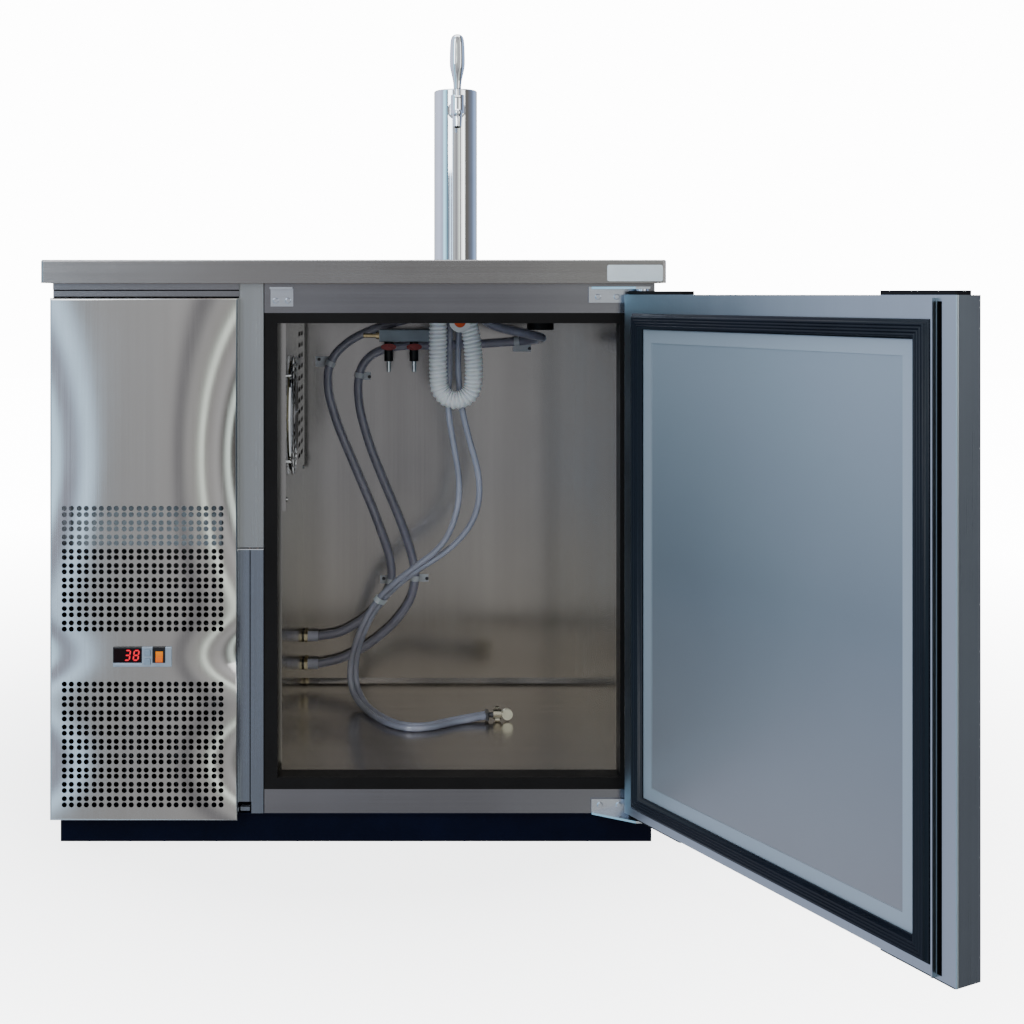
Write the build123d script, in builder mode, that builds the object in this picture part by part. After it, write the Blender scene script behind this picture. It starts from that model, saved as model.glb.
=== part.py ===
from build123d import *
from math import cos, pi, radians, sin, tan
import os

# Direct-draw beer cooler: a stainless cabinet with a machine compartment on the left, an insulated
# keg compartment on the right, a hinged door, a worktop and a one-tap column tower.
# Frame: origin at the centre of the base on the floor, +X right, +Y back, +Z up, millimetres.
# The model stands as stored, with its door open.

# ---- driving dimensions ----
BODY_SIDE = 467.0  # half width of the cabinet
BODY_FACE = 315.0  # half depth of the cabinet
PLINTH_TOP = 45.0
BODY_TOP = 869.0
TOP_THICK = 36.0
TOP_SIDE = 480.0
TOP_FRONT = -343.0
TOP_BACK = 325.0
SHEET = 1.5
FLOOR_SKIN = 47.0  # top of the base pan

COLD_LEFT = -139.0  # outer left side of the insulated box
KEG_LEFT, KEG_RIGHT = -115.0, 415.0
KEG_FRONT, KEG_BACK = -277.0, 260.0
KEG_FLOOR, KEG_CEILING = 95.0, 835.0
FRAME_LEFT, FRAME_RIGHT = -139.0, 422.0
FRAME_BOTTOM, FRAME_TOP = 84.0, 823.0
MOUTH_LEFT, MOUTH_RIGHT = -119.0, 413.0
MOUTH_BOTTOM, MOUTH_TOP = 102.0, 807.0
MULLION_LEFT = -178.0
SEAM = 1.4  # open joint between the front sheets
UPPER_RAIL, LOWER_RAIL = 859.0, 848.5  # undersides of the two rails over the machine compartment
COVER_TOP, COVER_NOTCH, COVER_GROOVE = 457.0, 65.0, -161.0

PANEL_LEFT, PANEL_RIGHT = -467.0, -178.0
PANEL_BOTTOM, PANEL_TOP = 43.0, 846.0
PANEL_DEPTH = 22.0
PANEL_SHEET = 1.2

TOWER_X = 171.0
COLUMN_RADIUS = 38.1
COLUMN_TOP = 1206.0
CAP_TOP = 1211.0
FAUCET_Z = 1172.0
LEVER_PIVOT = (TOWER_X, -72.0, 1188.0)
HANDLE_TOP = 1299.0

PIVOT_X, PIVOT_Y = 442.0, -347.0
DOOR_OPEN = 117.3  # degrees from shut
DOOR_HALF_THICK = 20.0
DOOR_HINGE_EDGE, DOOR_FREE_EDGE = -20.0, 616.0  # along the door from the pivot
DOOR_BOTTOM, DOOR_TOP = 56.5, 851.4
DOOR_SHEET = 1.2
PIN_RADIUS = 5.0
PIN_CLEARANCE = 0.05
EDGE_PLATE = 5.4

GAS_HOSE = 16.5
BEER_LINE = 11.1
DUCT = 33.0
HOSE_WALL_Y = 249.0  # gas hoses run clipped to the back wall
PIECE_GAP = 0.3

os.makedirs("parts", exist_ok=True)


def save(builder, label):
    builder.part.label = label
    export_step(builder.part, f"parts/{label}.step")


def save_group(solids, label):
    """One node of separate solids that touch without being one piece."""
    group = Compound(solids)
    group.label = label
    export_step(group, f"parts/{label}.step")


def slab(x, y, z, mode=Mode.ADD, base=Plane.XY, corner=0.0):
    """A plate between two x, two y and two z values of the base plane."""
    with BuildSketch(base.offset(z[0])) as outline:
        with Locations(((x[0] + x[1]) / 2, (y[0] + y[1]) / 2)):
            if corner:
                RectangleRounded(x[1] - x[0], y[1] - y[0], corner)
            else:
                Rectangle(x[1] - x[0], y[1] - y[0])
    extrude(outline.sketch, amount=z[1] - z[0], mode=mode)


def plate(x, y, z):
    with BuildPart() as piece:
        slab(x, y, z)
    return piece.part.solid()


def rod(origin, direction, radius, length, mode=Mode.ADD):
    with BuildSketch(Plane(origin, z_dir=direction)) as disc:
        Circle(radius)
    extrude(disc.sketch, amount=length, mode=mode)


def hex_nut(origin, direction, across_flats, length):
    with BuildSketch(Plane(origin, z_dir=direction)) as outline:
        RegularPolygon(across_flats / 2, 6, major_radius=False)
    extrude(outline.sketch, amount=length)


def ring(origin, direction, outer, inner, length, mode=Mode.ADD):
    with BuildSketch(Plane(origin, z_dir=direction)) as annulus:
        Circle(outer)
        Circle(inner, mode=Mode.SUBTRACT)
    extrude(annulus.sketch, amount=length, mode=mode)


def screw_head(origin, direction, radius=4.0):
    """A low pan head with a conical edge."""
    with BuildSketch(Plane(origin, z_dir=direction)) as disc:
        Circle(radius)
    extrude(disc.sketch, amount=0.45 * radius, taper=25)


def bend_radii(points):
    """The largest arc for each corner: 0.45 of its shorter run over the tangent of half its turn."""
    radii = []
    for before, here, after in zip(points, points[1:], points[2:]):
        first = Vector(*here) - Vector(*before)
        second = Vector(*after) - Vector(*here)
        half_turn = radians(first.get_angle(second)) / 2
        radii.append(0.45 * min(first.length, second.length) / tan(half_turn))
    return radii


def hose(points, diameter, label):
    """A round tube along straight runs joined by tangent arcs."""
    radii = bend_radii(points)
    with BuildPart() as tube:
        with BuildLine() as route:
            FilletPolyline(*points, radius=radii)
        path = route.wire()
        with BuildSketch(Plane(path @ 0, z_dir=path % 0)):
            Circle(diameter / 2)
        sweep(path=path)
    save(tube, label)
    length = path.length
    share = tube.part.volume / (pi * diameter**2 / 4 * length)
    print(label, "length", round(length), "volume share", round(share, 4), "least radius", round(min(radii)))
    print("  radii", [round(radius) for radius in radii])
    return path


# ---- base, outer shell and insulation ----
def make_plinth():
    with BuildPart() as plinth:
        slab((-457, 463), (-307, 307), (0, PLINTH_TOP))
        slab((-454, 460), (-304, 304), (3, PLINTH_TOP), Mode.SUBTRACT)
        slab((-BODY_SIDE, BODY_SIDE), (-BODY_FACE, BODY_FACE), (PLINTH_TOP, FLOOR_SKIN))
    save(plinth, "plinth")


COLD_SKIN = COLD_LEFT + SHEET
COIL_WINDOW_Y, COIL_WINDOW_Z = (-262, -68), (555, 749)
BULKHEAD_HEIGHTS = (188.0, 134.0)
BULKHEAD_HOLE = 8.4
HOSE_START = -85.0  # where the gas hoses leave their fittings


def left_wall_openings(x, depth):
    """The fan window and the two gas fitting holes through one layer of the left wall."""
    slab((x, x + depth), COIL_WINDOW_Y, COIL_WINDOW_Z, Mode.SUBTRACT)
    for height in BULKHEAD_HEIGHTS:
        rod((x, HOSE_WALL_Y, height), (1, 0, 0), BULKHEAD_HOLE, depth, Mode.SUBTRACT)


def make_outer_shell():
    skin_z = (FLOOR_SKIN, BODY_TOP)
    with BuildPart() as inner_side:
        slab((COLD_LEFT, COLD_SKIN), (KEG_FRONT, BODY_FACE - SHEET), skin_z)
        left_wall_openings(COLD_LEFT, SHEET)
    shell = [
        plate((-BODY_SIDE, -BODY_SIDE + SHEET), (-BODY_FACE, BODY_FACE), skin_z),
        plate((BODY_SIDE - SHEET, BODY_SIDE), (-BODY_FACE, BODY_FACE), skin_z),
        plate((COLD_LEFT, BODY_SIDE - SHEET), (BODY_FACE - SHEET, BODY_FACE), skin_z),
        inner_side.part.solid(),
    ]
    save_group(shell, "outer_shell")


LINER = 1.0
TOWER_HOLE = 30.0


def make_insulation():
    wall_z = (KEG_FLOOR - LINER, KEG_CEILING + LINER)
    back_y = (KEG_BACK + LINER, BODY_FACE - SHEET)
    whole_x = (COLD_SKIN, BODY_SIDE - SHEET)
    whole_y = (KEG_FRONT + LINER, BODY_FACE - SHEET)
    with BuildPart() as left:
        slab((COLD_SKIN, KEG_LEFT - LINER), whole_y, wall_z)
        left_wall_openings(COLD_SKIN, KEG_LEFT - LINER - COLD_SKIN)
    with BuildPart() as top:
        slab(whole_x, whole_y, (wall_z[1], BODY_TOP))
        rod((TOWER_X, 0, wall_z[1]), (0, 0, 1), TOWER_HOLE, BODY_TOP - wall_z[1], Mode.SUBTRACT)
    foam = [
        left.part.solid(),
        plate((KEG_RIGHT + LINER, BODY_SIDE - SHEET), whole_y, wall_z),
        plate((KEG_LEFT - LINER, KEG_RIGHT + LINER), back_y, wall_z),
        plate(whole_x, whole_y, (FLOOR_SKIN, wall_z[0])),
        top.part.solid(),
    ]
    save_group(foam, "insulation")


def make_liner():
    skin_z = (KEG_FLOOR, KEG_CEILING)
    with BuildPart() as left:
        slab((KEG_LEFT - LINER, KEG_LEFT), (KEG_FRONT, KEG_BACK), skin_z)
        slab((COLD_SKIN, KEG_LEFT - LINER), (KEG_FRONT, KEG_FRONT + LINER), skin_z)
        left_wall_openings(KEG_LEFT - LINER, LINER)
    walls = [
        left.part.solid(),
        plate((KEG_RIGHT, KEG_RIGHT + LINER), (KEG_FRONT, KEG_BACK), skin_z),
        plate((KEG_LEFT - LINER, KEG_RIGHT + LINER), (KEG_BACK, KEG_BACK + LINER), skin_z),
    ]
    save_group(walls, "liner_walls")
    cove = 9.0
    with BuildPart() as fillet_strip:
        with BuildSketch(Plane.YZ.offset(KEG_LEFT)):
            with BuildLine():
                Polyline(
                    (KEG_BACK, KEG_FLOOR),
                    (KEG_BACK, KEG_FLOOR + cove),
                    (KEG_BACK - cove, KEG_FLOOR),
                    close=True,
                )
            make_face()
        extrude(amount=KEG_RIGHT - KEG_LEFT)
    floor = plate((KEG_LEFT, KEG_RIGHT), (KEG_FRONT, KEG_BACK), (KEG_FLOOR - LINER, KEG_FLOOR))
    save_group([floor, fillet_strip.part.solid()], "liner_floor")
    with BuildPart() as ceiling:
        slab((KEG_LEFT, KEG_RIGHT), (KEG_FRONT, KEG_BACK), (KEG_CEILING, KEG_CEILING + LINER))
        rod((TOWER_X, 0, KEG_CEILING), (0, 0, 1), TOWER_HOLE, LINER, Mode.SUBTRACT)
    save(ceiling, "liner_ceiling")


def make_front_frame():
    front_y = (-BODY_FACE, -BODY_FACE + 2)
    machine_x = (-BODY_SIDE + SHEET, MULLION_LEFT)
    rails = [
        plate((COLD_LEFT, BODY_SIDE - SHEET), front_y, (FRAME_TOP, BODY_TOP)),
        plate((COLD_LEFT, BODY_SIDE - SHEET), front_y, (FLOOR_SKIN, FRAME_BOTTOM)),
        plate((FRAME_RIGHT, BODY_SIDE - SHEET), front_y, (FRAME_BOTTOM, FRAME_TOP)),
        plate(machine_x, (-BODY_FACE - 8, -BODY_FACE + 4), (UPPER_RAIL, BODY_TOP)),
        plate(machine_x, (-BODY_FACE - 3, -BODY_FACE + 4), (LOWER_RAIL, UPPER_RAIL - 2)),
    ]
    save_group(rails, "front_frame")
    cover_x = (MULLION_LEFT + PIECE_GAP, COLD_LEFT - SEAM)
    flange_x = (cover_x[1] - 1.6, cover_x[1])
    tongue_x = (MULLION_LEFT - 5, MULLION_LEFT + 2)
    tongue_y = (-BODY_FACE + PIECE_GAP, -BODY_FACE + 2)
    with BuildPart() as mullion:
        slab(cover_x, front_y, (COVER_TOP + 2, BODY_TOP))
        slab((cover_x[0], MULLION_LEFT + 2), (-BODY_FACE + 2, -BODY_FACE + 22), (COVER_TOP + 2, BODY_TOP))
        slab(flange_x, (-BODY_FACE + 2, -BODY_FACE + 22), (COVER_TOP + 2, BODY_TOP))
        slab(tongue_x, tongue_y, (COVER_TOP + 2, PANEL_TOP))
    save(mullion, "mullion")
    cover_y = (-BODY_FACE - 1, -BODY_FACE + 1)
    with BuildPart() as cover:
        slab(cover_x, cover_y, (COVER_NOTCH, COVER_TOP))
        slab((COLD_LEFT - 20, COLD_LEFT - SEAM), cover_y, (FLOOR_SKIN, COVER_NOTCH))
        slab(flange_x, (cover_y[1], -BODY_FACE + 22), (FLOOR_SKIN, COVER_TOP))
        slab(tongue_x, tongue_y, (COVER_NOTCH, COVER_TOP))
        groove_x = (COVER_GROOVE - SEAM / 2, COVER_GROOVE + SEAM / 2)
        slab(groove_x, (cover_y[0], cover_y[0] + 1.2), (COVER_NOTCH, COVER_TOP - 5), Mode.SUBTRACT)
        slab((MULLION_LEFT + 2, COVER_GROOVE), (-BODY_FACE + 2, -BODY_FACE + 10), (50, 56))
    save(cover, "mullion_cover")


def mitred_bars(outer, inner, plane, depth):
    """Four bars that meet at mitred corners, between an outer and an inner rectangle of corners."""
    bars = []
    for corner in range(4):
        after = (corner + 1) % 4
        with BuildPart() as bar:
            with BuildSketch(plane):
                with BuildLine():
                    Polyline(outer[corner], outer[after], inner[after], inner[corner], close=True)
                make_face()
            extrude(amount=depth)
        bars.append(bar.part.solid())
    return bars


def rectangle_corners(x, z):
    return [(x[0], z[0]), (x[1], z[0]), (x[1], z[1]), (x[0], z[1])]


def make_breaker_frame():
    outer = rectangle_corners((FRAME_LEFT, FRAME_RIGHT), (FRAME_BOTTOM, FRAME_TOP))
    inner = rectangle_corners((MOUTH_LEFT, MOUTH_RIGHT), (MOUTH_BOTTOM, MOUTH_TOP))
    depth = -(BODY_FACE + KEG_FRONT)
    save_group(mitred_bars(outer, inner, Plane.XZ.offset(BODY_FACE), depth), "breaker_frame")


# ---- worktop ----
def make_countertop():
    corner = 5.0
    with BuildPart() as top:
        slab((-TOP_SIDE, TOP_SIDE), (TOP_FRONT, TOP_BACK), (BODY_TOP, BODY_TOP + TOP_THICK), corner=corner)
        fillet(top.edges().group_by(Axis.Z)[-1], 3.0)
        slab(
            (-TOP_SIDE + SHEET, TOP_SIDE - SHEET),
            (TOP_FRONT + SHEET, TOP_BACK - SHEET),
            (BODY_TOP, BODY_TOP + TOP_THICK - 3.2),
            Mode.SUBTRACT,
            corner=corner - SHEET,
        )
        rod((TOWER_X, 0, BODY_TOP), (0, 0, 1), TOWER_HOLE, TOP_THICK, Mode.SUBTRACT)
    save(top, "countertop")
    with BuildPart() as core:
        slab(
            (-TOP_SIDE + 2, TOP_SIDE - 2),
            (TOP_FRONT + 2, TOP_BACK - 2),
            (BODY_TOP, BODY_TOP + TOP_THICK - 3.2),
            corner=corner - SHEET,
        )
        rod((TOWER_X, 0, BODY_TOP), (0, 0, 1), TOWER_HOLE, TOP_THICK, Mode.SUBTRACT)
    save(core, "countertop_core")
    with BuildPart() as plate:
        with BuildSketch(Plane.XZ.offset(-TOP_FRONT)):
            with Locations((431.5, 884.5)):
                RectangleRounded(85, 25, 3)
        extrude(amount=1.0)
    save(plate, "label_plate")


# ---- machine compartment ----
CONTROL_LEFT, CONTROL_RIGHT = -369.0, -279.0
CONTROL_BOTTOM, CONTROL_TOP = 280.5, 310.5
CONTROL_MIDDLE = ((CONTROL_LEFT + CONTROL_RIGHT) / 2, (CONTROL_BOTTOM + CONTROL_TOP) / 2)
CONTROL_FACE = -341.0
ROCKER = (-298.0, -336.0, 295.5)
ROCKER_RADIUS, ROCKER_WIDTH = 9.6, 11.0
KEY_SIZE, KEY_X = 9.0, -316.0
KEY_HEIGHTS = {"key_up": 302.2, "key_down": 288.8}
PANEL_FACE = BODY_FACE + PANEL_DEPTH
CLUSTER_X, CLUSTER_Z = 23.0, 22.0
PAIR_X, PAIR_Z = 10.8, 9.5
VENT_COLUMNS, VENT_ROWS = 11, 9  # clusters of four holes
VENT_HOLE = 4.0
CONTROL_CUT = (86.0, 26.5)
VENT_MIDDLE_X = -324.0
VENT_MIDDLES = (430.25, 160.25)


def make_grille_panel():
    edge = 3.0
    with BuildPart() as panel:
        slab((PANEL_LEFT, PANEL_RIGHT), (-PANEL_FACE, -BODY_FACE), (PANEL_BOTTOM, PANEL_TOP))
        fillet(panel.edges().group_by(Axis.Y)[0], edge)
        slab(
            (PANEL_LEFT + PANEL_SHEET, PANEL_RIGHT - PANEL_SHEET),
            (-PANEL_FACE + PANEL_SHEET, -BODY_FACE),
            (PANEL_BOTTOM + PANEL_SHEET, PANEL_TOP - PANEL_SHEET),
            Mode.SUBTRACT,
        )
        slab(
            (PANEL_LEFT + 2 * edge, PANEL_RIGHT - 2 * edge),
            (-PANEL_FACE, -PANEL_FACE + PANEL_SHEET),
            (PANEL_BOTTOM + 2 * edge, PANEL_TOP - 2 * edge),
            Mode.SUBTRACT,
        )
        with BuildSketch(Plane.XZ.offset(PANEL_FACE)) as face:
            width = PANEL_RIGHT - PANEL_LEFT - 4 * edge
            height = PANEL_TOP - PANEL_BOTTOM - 4 * edge
            with Locations(((PANEL_LEFT + PANEL_RIGHT) / 2, (PANEL_BOTTOM + PANEL_TOP) / 2)):
                Rectangle(width, height)
            with Locations(*[(VENT_MIDDLE_X, middle) for middle in VENT_MIDDLES]):
                with GridLocations(CLUSTER_X, CLUSTER_Z, VENT_COLUMNS, VENT_ROWS):
                    with GridLocations(PAIR_X, PAIR_Z, 2, 2):
                        Circle(VENT_HOLE, mode=Mode.SUBTRACT)
            with Locations(CONTROL_MIDDLE):
                Rectangle(*CONTROL_CUT, mode=Mode.SUBTRACT)
        extrude(face.sketch, amount=-PANEL_SHEET)
    save(panel, "grille_panel")


def make_controller():
    with BuildPart() as housing:
        slab((CONTROL_LEFT, CONTROL_RIGHT), (CONTROL_FACE, -PANEL_FACE), (CONTROL_BOTTOM, CONTROL_TOP))
        fillet(housing.edges().group_by(Axis.Y)[0], 1.0)
        slab((CONTROL_LEFT + 3, CONTROL_RIGHT - 3), (-PANEL_FACE, -296), (CONTROL_BOTTOM + 3, CONTROL_TOP - 3))
        window_z = (283, 308)
        slab((-367.5, -324.5), (CONTROL_FACE, CONTROL_FACE + 2), window_z, Mode.SUBTRACT)
        for height in KEY_HEIGHTS.values():
            half = KEY_SIZE / 2 + 0.25
            across = (KEY_X - half, KEY_X + half)
            slab(across, (CONTROL_FACE, -332), (height - half, height + half), Mode.SUBTRACT)
        reach = ROCKER_WIDTH / 2 + 0.3
        rod((ROCKER[0] - reach, *ROCKER[1:]), (1, 0, 0), ROCKER_RADIUS + 0.4, 2 * reach, Mode.SUBTRACT)
    save(housing, "controller_housing")
    with BuildPart() as window:
        slab((-367.4, -324.6), (CONTROL_FACE + 0.4, CONTROL_FACE + 2), (283.1, 307.9))
    save(window, "display_window")
    with BuildPart() as rocker:
        with BuildSketch(Plane.YZ.offset(ROCKER[0] - ROCKER_WIDTH / 2)):
            with Locations((ROCKER[1], ROCKER[2])):
                Circle(ROCKER_RADIUS)
            with BuildLine():
                Polyline(
                    (-350, 312), (-341.3, 305.2), (-341.0, 295.5), (-344.3, 284), (-350, 280), close=True
                )
            make_face(mode=Mode.SUBTRACT)
        extrude(amount=ROCKER_WIDTH)
    save(rocker, "rocker_switch")
    for name, height in KEY_HEIGHTS.items():
        with BuildPart() as key:
            half = KEY_SIZE / 2
            slab((KEY_X - half, KEY_X + half), (CONTROL_FACE - 1.6, -336), (height - half, height + half))
            fillet(key.edges().group_by(Axis.Y)[0], 0.8)
        save(key, name)


def make_rear_panel():
    with BuildPart() as panel:
        slab((-BODY_SIDE + SHEET, COLD_LEFT), (BODY_FACE - SHEET, BODY_FACE), (FLOOR_SKIN, BODY_TOP))
        with BuildSketch(Plane.XZ.offset(-BODY_FACE)) as vents:
            with Locations((-302, 560)):
                with GridLocations(120, 22, 2, 18):
                    SlotOverall(100, 9)
            with Locations((-302, 160)):
                Rectangle(48, 28)
        extrude(vents.sketch, amount=SHEET, mode=Mode.SUBTRACT)
    save(panel, "machine_rear_panel")
    with BuildPart() as inlet:
        slab((-326, -278), (BODY_FACE - 20, BODY_FACE - SHEET), (146, 174))
        slab((-330, -274), (BODY_FACE, BODY_FACE + 2.5), (142, 178))
        slab((-325, -279), (BODY_FACE - SHEET, BODY_FACE), (147, 173))
        slab((-314, -290), (BODY_FACE - 14, BODY_FACE + 2.5), (151, 169), Mode.SUBTRACT, corner=3)
        with Locations((-308, BODY_FACE - 8, 160), (-302, BODY_FACE - 8, 164), (-296, BODY_FACE - 8, 160)):
            Box(2, 13, 4)
    save(inlet, "power_inlet")


def fin_pack(width, depth, height, corner, pitch, rows):
    """Vertical fins on horizontal tubes, with the first corner at its lowest x, y and z."""
    x, y, z = corner
    count = int(width / pitch) + 1
    with BuildPart() as pack:
        for index in range(count):
            left = x + index * pitch
            slab((left, left + 1.2), (y, y + depth), (z, z + height))
        for row in range(rows):
            level = z + (row + 0.5) * height / rows
            for column in (0.3, 0.7):
                rod((x - 8, y + column * depth, level), (1, 0, 0), 4.0, (count - 1) * pitch + 17)
    return pack


CONDENSER_FAN = (-322.0, -196.0, 250.0)


def fan(centre, direction, radius, hub_radius, depth, label):
    """Five flat pitched blades lofted out from a hub, with the hub's back at centre."""
    blades, root_pitch, tip_pitch = 5, radians(24), radians(14)
    base = Plane(centre, z_dir=direction)
    with BuildPart() as rotor:
        rod(centre, direction, hub_radius, depth)
        for blade in range(blades):
            turn = 2 * pi * blade / blades
            out = base.x_dir * cos(turn) + base.y_dir * sin(turn)
            across = base.y_dir * cos(turn) - base.x_dir * sin(turn)
            sections = []
            for reach, pitch, width in ((hub_radius - 2, root_pitch, 1.1), (radius - 2, tip_pitch, 1.9)):
                middle = base.origin + base.z_dir * (depth / 2) + out * reach
                chord = across * cos(pitch) + base.z_dir * sin(pitch)
                with BuildSketch(Plane(middle, x_dir=chord, z_dir=out)) as section:
                    SlotOverall(width * hub_radius, 1.6)
                sections.append(section.sketch.faces()[0])
            loft(sections)
    save(rotor, label)


def make_machine():
    coil = fin_pack(250, 44, 330, (-450, -288, 62), 10, 8)
    save(coil, "condenser_coil")
    x, y, z = CONDENSER_FAN
    with BuildPart() as shroud:
        slab((-455, -189), (-236, -234), (75, 385))
        rod((x, -236, z), (0, 1, 0), 107, 2, Mode.SUBTRACT)
        ring((x, -236, z), (0, 1, 0), 110, 107, 38)
        for side in (-1, 1):
            slab((x + side * 60 - 4, x + side * 60 + 4), (-160, -156), (z - 118, z + 118))
            for end in (-1, 1):
                level = z + end * 113
                slab((x + side * 60 - 4, x + side * 60 + 4), (-234, -160), (level - 5, level + 5))
        slab((x - 64, x + 64), (-160, -156), (z - 12, z + 12))
        rod((x, -160, z), (0, 1, 0), 32, 55)
        rod((x, -160, z), (0, -1, 0), 2.5, 18)
    save(shroud, "condenser_fan_shroud")
    fan((x, y + 18, z), (0, -1, 0), 100, 24, 26, "condenser_fan")
    with BuildPart() as compressor:
        with BuildSketch(Plane.XY.offset(FLOOR_SKIN + 12)):
            with Locations((-330, 90)):
                Ellipse(95, 78)
        extrude(amount=70)
        with BuildSketch(Plane.XY.offset(FLOOR_SKIN + 90)):
            with Locations((-330, 90)):
                Ellipse(92, 75)
        extrude(amount=80)
        slab((-432, -228), (5, 175), (FLOOR_SKIN + 82, FLOOR_SKIN + 90))
        fillet(compressor.edges().group_by(Axis.Z)[-1], 30)
        for x_foot in (-400, -260):
            for y_foot in (20, 160):
                rod((x_foot, y_foot, FLOOR_SKIN), (0, 0, 1), 13, 82)
    save(compressor, "compressor")
    with BuildPart() as box:
        slab((-442, -205), (-302, -212), (455, 532))
        fillet(box.edges().filter_by(Axis.Z), 3)
    save(box, "electrical_box")


def make_refrigerant_lines():
    suction = [
        (-237, 90, 178),
        (-214, 90, 178),
        (-198, 92, 226),
        (-190, 110, 310),
        (-190, 130, 420),
        (-198, 140, 530),
    ]
    liquid = [
        (-192, -250, 380),
        (-181, -232, 396),
        (-176, -170, 418),
        (-178, -90, 440),
        (-190, -10, 474),
        (-196, 40, 530),
    ]
    with BuildPart() as lines:
        for points, diameter in ((suction, 10.0), (liquid, 6.5)):
            with BuildLine() as route:
                FilletPolyline(*points, radius=bend_radii(points))
            path = route.wire()
            with BuildSketch(Plane(path @ 0, z_dir=path % 0)) as section:
                Circle(diameter / 2)
            sweep(section.sketch, path=path)
    save(lines, "copper_lines")


EVAP_Y, EVAP_Z = -165.0, 652.0


def make_evaporator():
    with BuildPart() as housing:
        slab((-300, COLD_LEFT), (-285, 250), (537, 832))
        slab((-276, COLD_LEFT), (-265, 228), (548, 812), Mode.SUBTRACT)
        rod((-212, EVAP_Y, EVAP_Z), (1, 0, 0), 30, 48)
        rod((-164, EVAP_Y, EVAP_Z), (1, 0, 0), 2.5, 9)
        slab((-276, -212), (EVAP_Y - 5, EVAP_Y + 5), (EVAP_Z - 5, EVAP_Z + 5))
    save(housing, "evaporator_housing")
    coil = fin_pack(62, 160, 240, (-250, -10, 552), 8, 6)
    save(coil, "evaporator_coil")
    y, z = EVAP_Y, EVAP_Z
    with BuildPart() as cover:
        slab((KEG_LEFT, KEG_LEFT + 6), (-272, 200), (509, 832))
        slab((KEG_LEFT, KEG_LEFT + 4.8), (-270.8, 198.8), (510.2, 830.8), Mode.SUBTRACT)
        rod((KEG_LEFT, y, z), (1, 0, 0), 90, 6, Mode.SUBTRACT)
        with BuildSketch(Plane.YZ.offset(KEG_LEFT + 6)) as slots:
            with Locations((90, 670)):
                with GridLocations(70, 20, 2, 12):
                    SlotOverall(54, 8)
        extrude(slots.sketch, amount=-6, mode=Mode.SUBTRACT)
        for y_screw, z_screw in ((-255, 815), (-255, 525), (-40, 822), (180, 815), (180, 525)):
            screw_head((KEG_LEFT + 6, y_screw, z_screw), (1, 0, 0))
    save(cover, "evaporator_cover")
    guard_x = KEG_LEFT + 6
    with BuildPart() as guard:
        for index in range(8):
            middle = 14 + index * 12
            ring((guard_x + 4, y, z), (1, 0, 0), middle + 1.2, middle - 1.2, 2.4)
        for spoke in range(4):
            lean = radians(45 * spoke)
            across = (0, cos(lean), sin(lean))
            with BuildSketch(Plane((guard_x + 2.8, y, z), x_dir=across, z_dir=(1, 0, 0))) as bar:
                SlotOverall(197, 2.4)
            extrude(bar.sketch, amount=2.4)
        for side_y in (-1, 1):
            for side_z in (-1, 1):
                foot = (guard_x, y + side_y * 69, z + side_z * 69)
                rod(foot, (1, 0, 0), 3, 6)
        rod((guard_x + 2.8, y, z), (1, 0, 0), 15, 3.6)
    save(guard, "fan_guard")
    fan((-155, y, z), (1, 0, 0), 84, 20, 22, "evaporator_fan")


# ---- tower and tap ----
def make_tower():
    with BuildPart() as column:
        ring((TOWER_X, 0, 905), (0, 0, 1), 56, COLUMN_RADIUS - 1.5, 6)
        ring((TOWER_X, 0, 905), (0, 0, 1), COLUMN_RADIUS, COLUMN_RADIUS - 1.5, COLUMN_TOP - 905)
        rod((TOWER_X, -50, FAUCET_Z), (0, 1, 0), 11.3, 40, Mode.SUBTRACT)
        for angle in (45, 135, 225, 315):
            x = TOWER_X + 47 * cos(radians(angle))
            screw_head((x, 47 * sin(radians(angle)), 911), (0, 0, 1), 3.5)
    save(column, "tower_column")
    with BuildPart() as cap:
        rod((TOWER_X, 0, COLUMN_TOP), (0, 0, 1), COLUMN_RADIUS, CAP_TOP - COLUMN_TOP)
        fillet(cap.edges().group_by(Axis.Z)[-1], 3.0)
        rod((TOWER_X, 0, COLUMN_TOP - 12), (0, 0, 1), COLUMN_RADIUS - 1.6, 12)
    save(cap, "tower_cap")


NECK_RISE = 16.0  # from the lever's pivot to the handle
LEVER_ROUND, LEVER_HALF = 7.2, 4.6  # the lever's round end: radius and half width along the pivot


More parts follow.
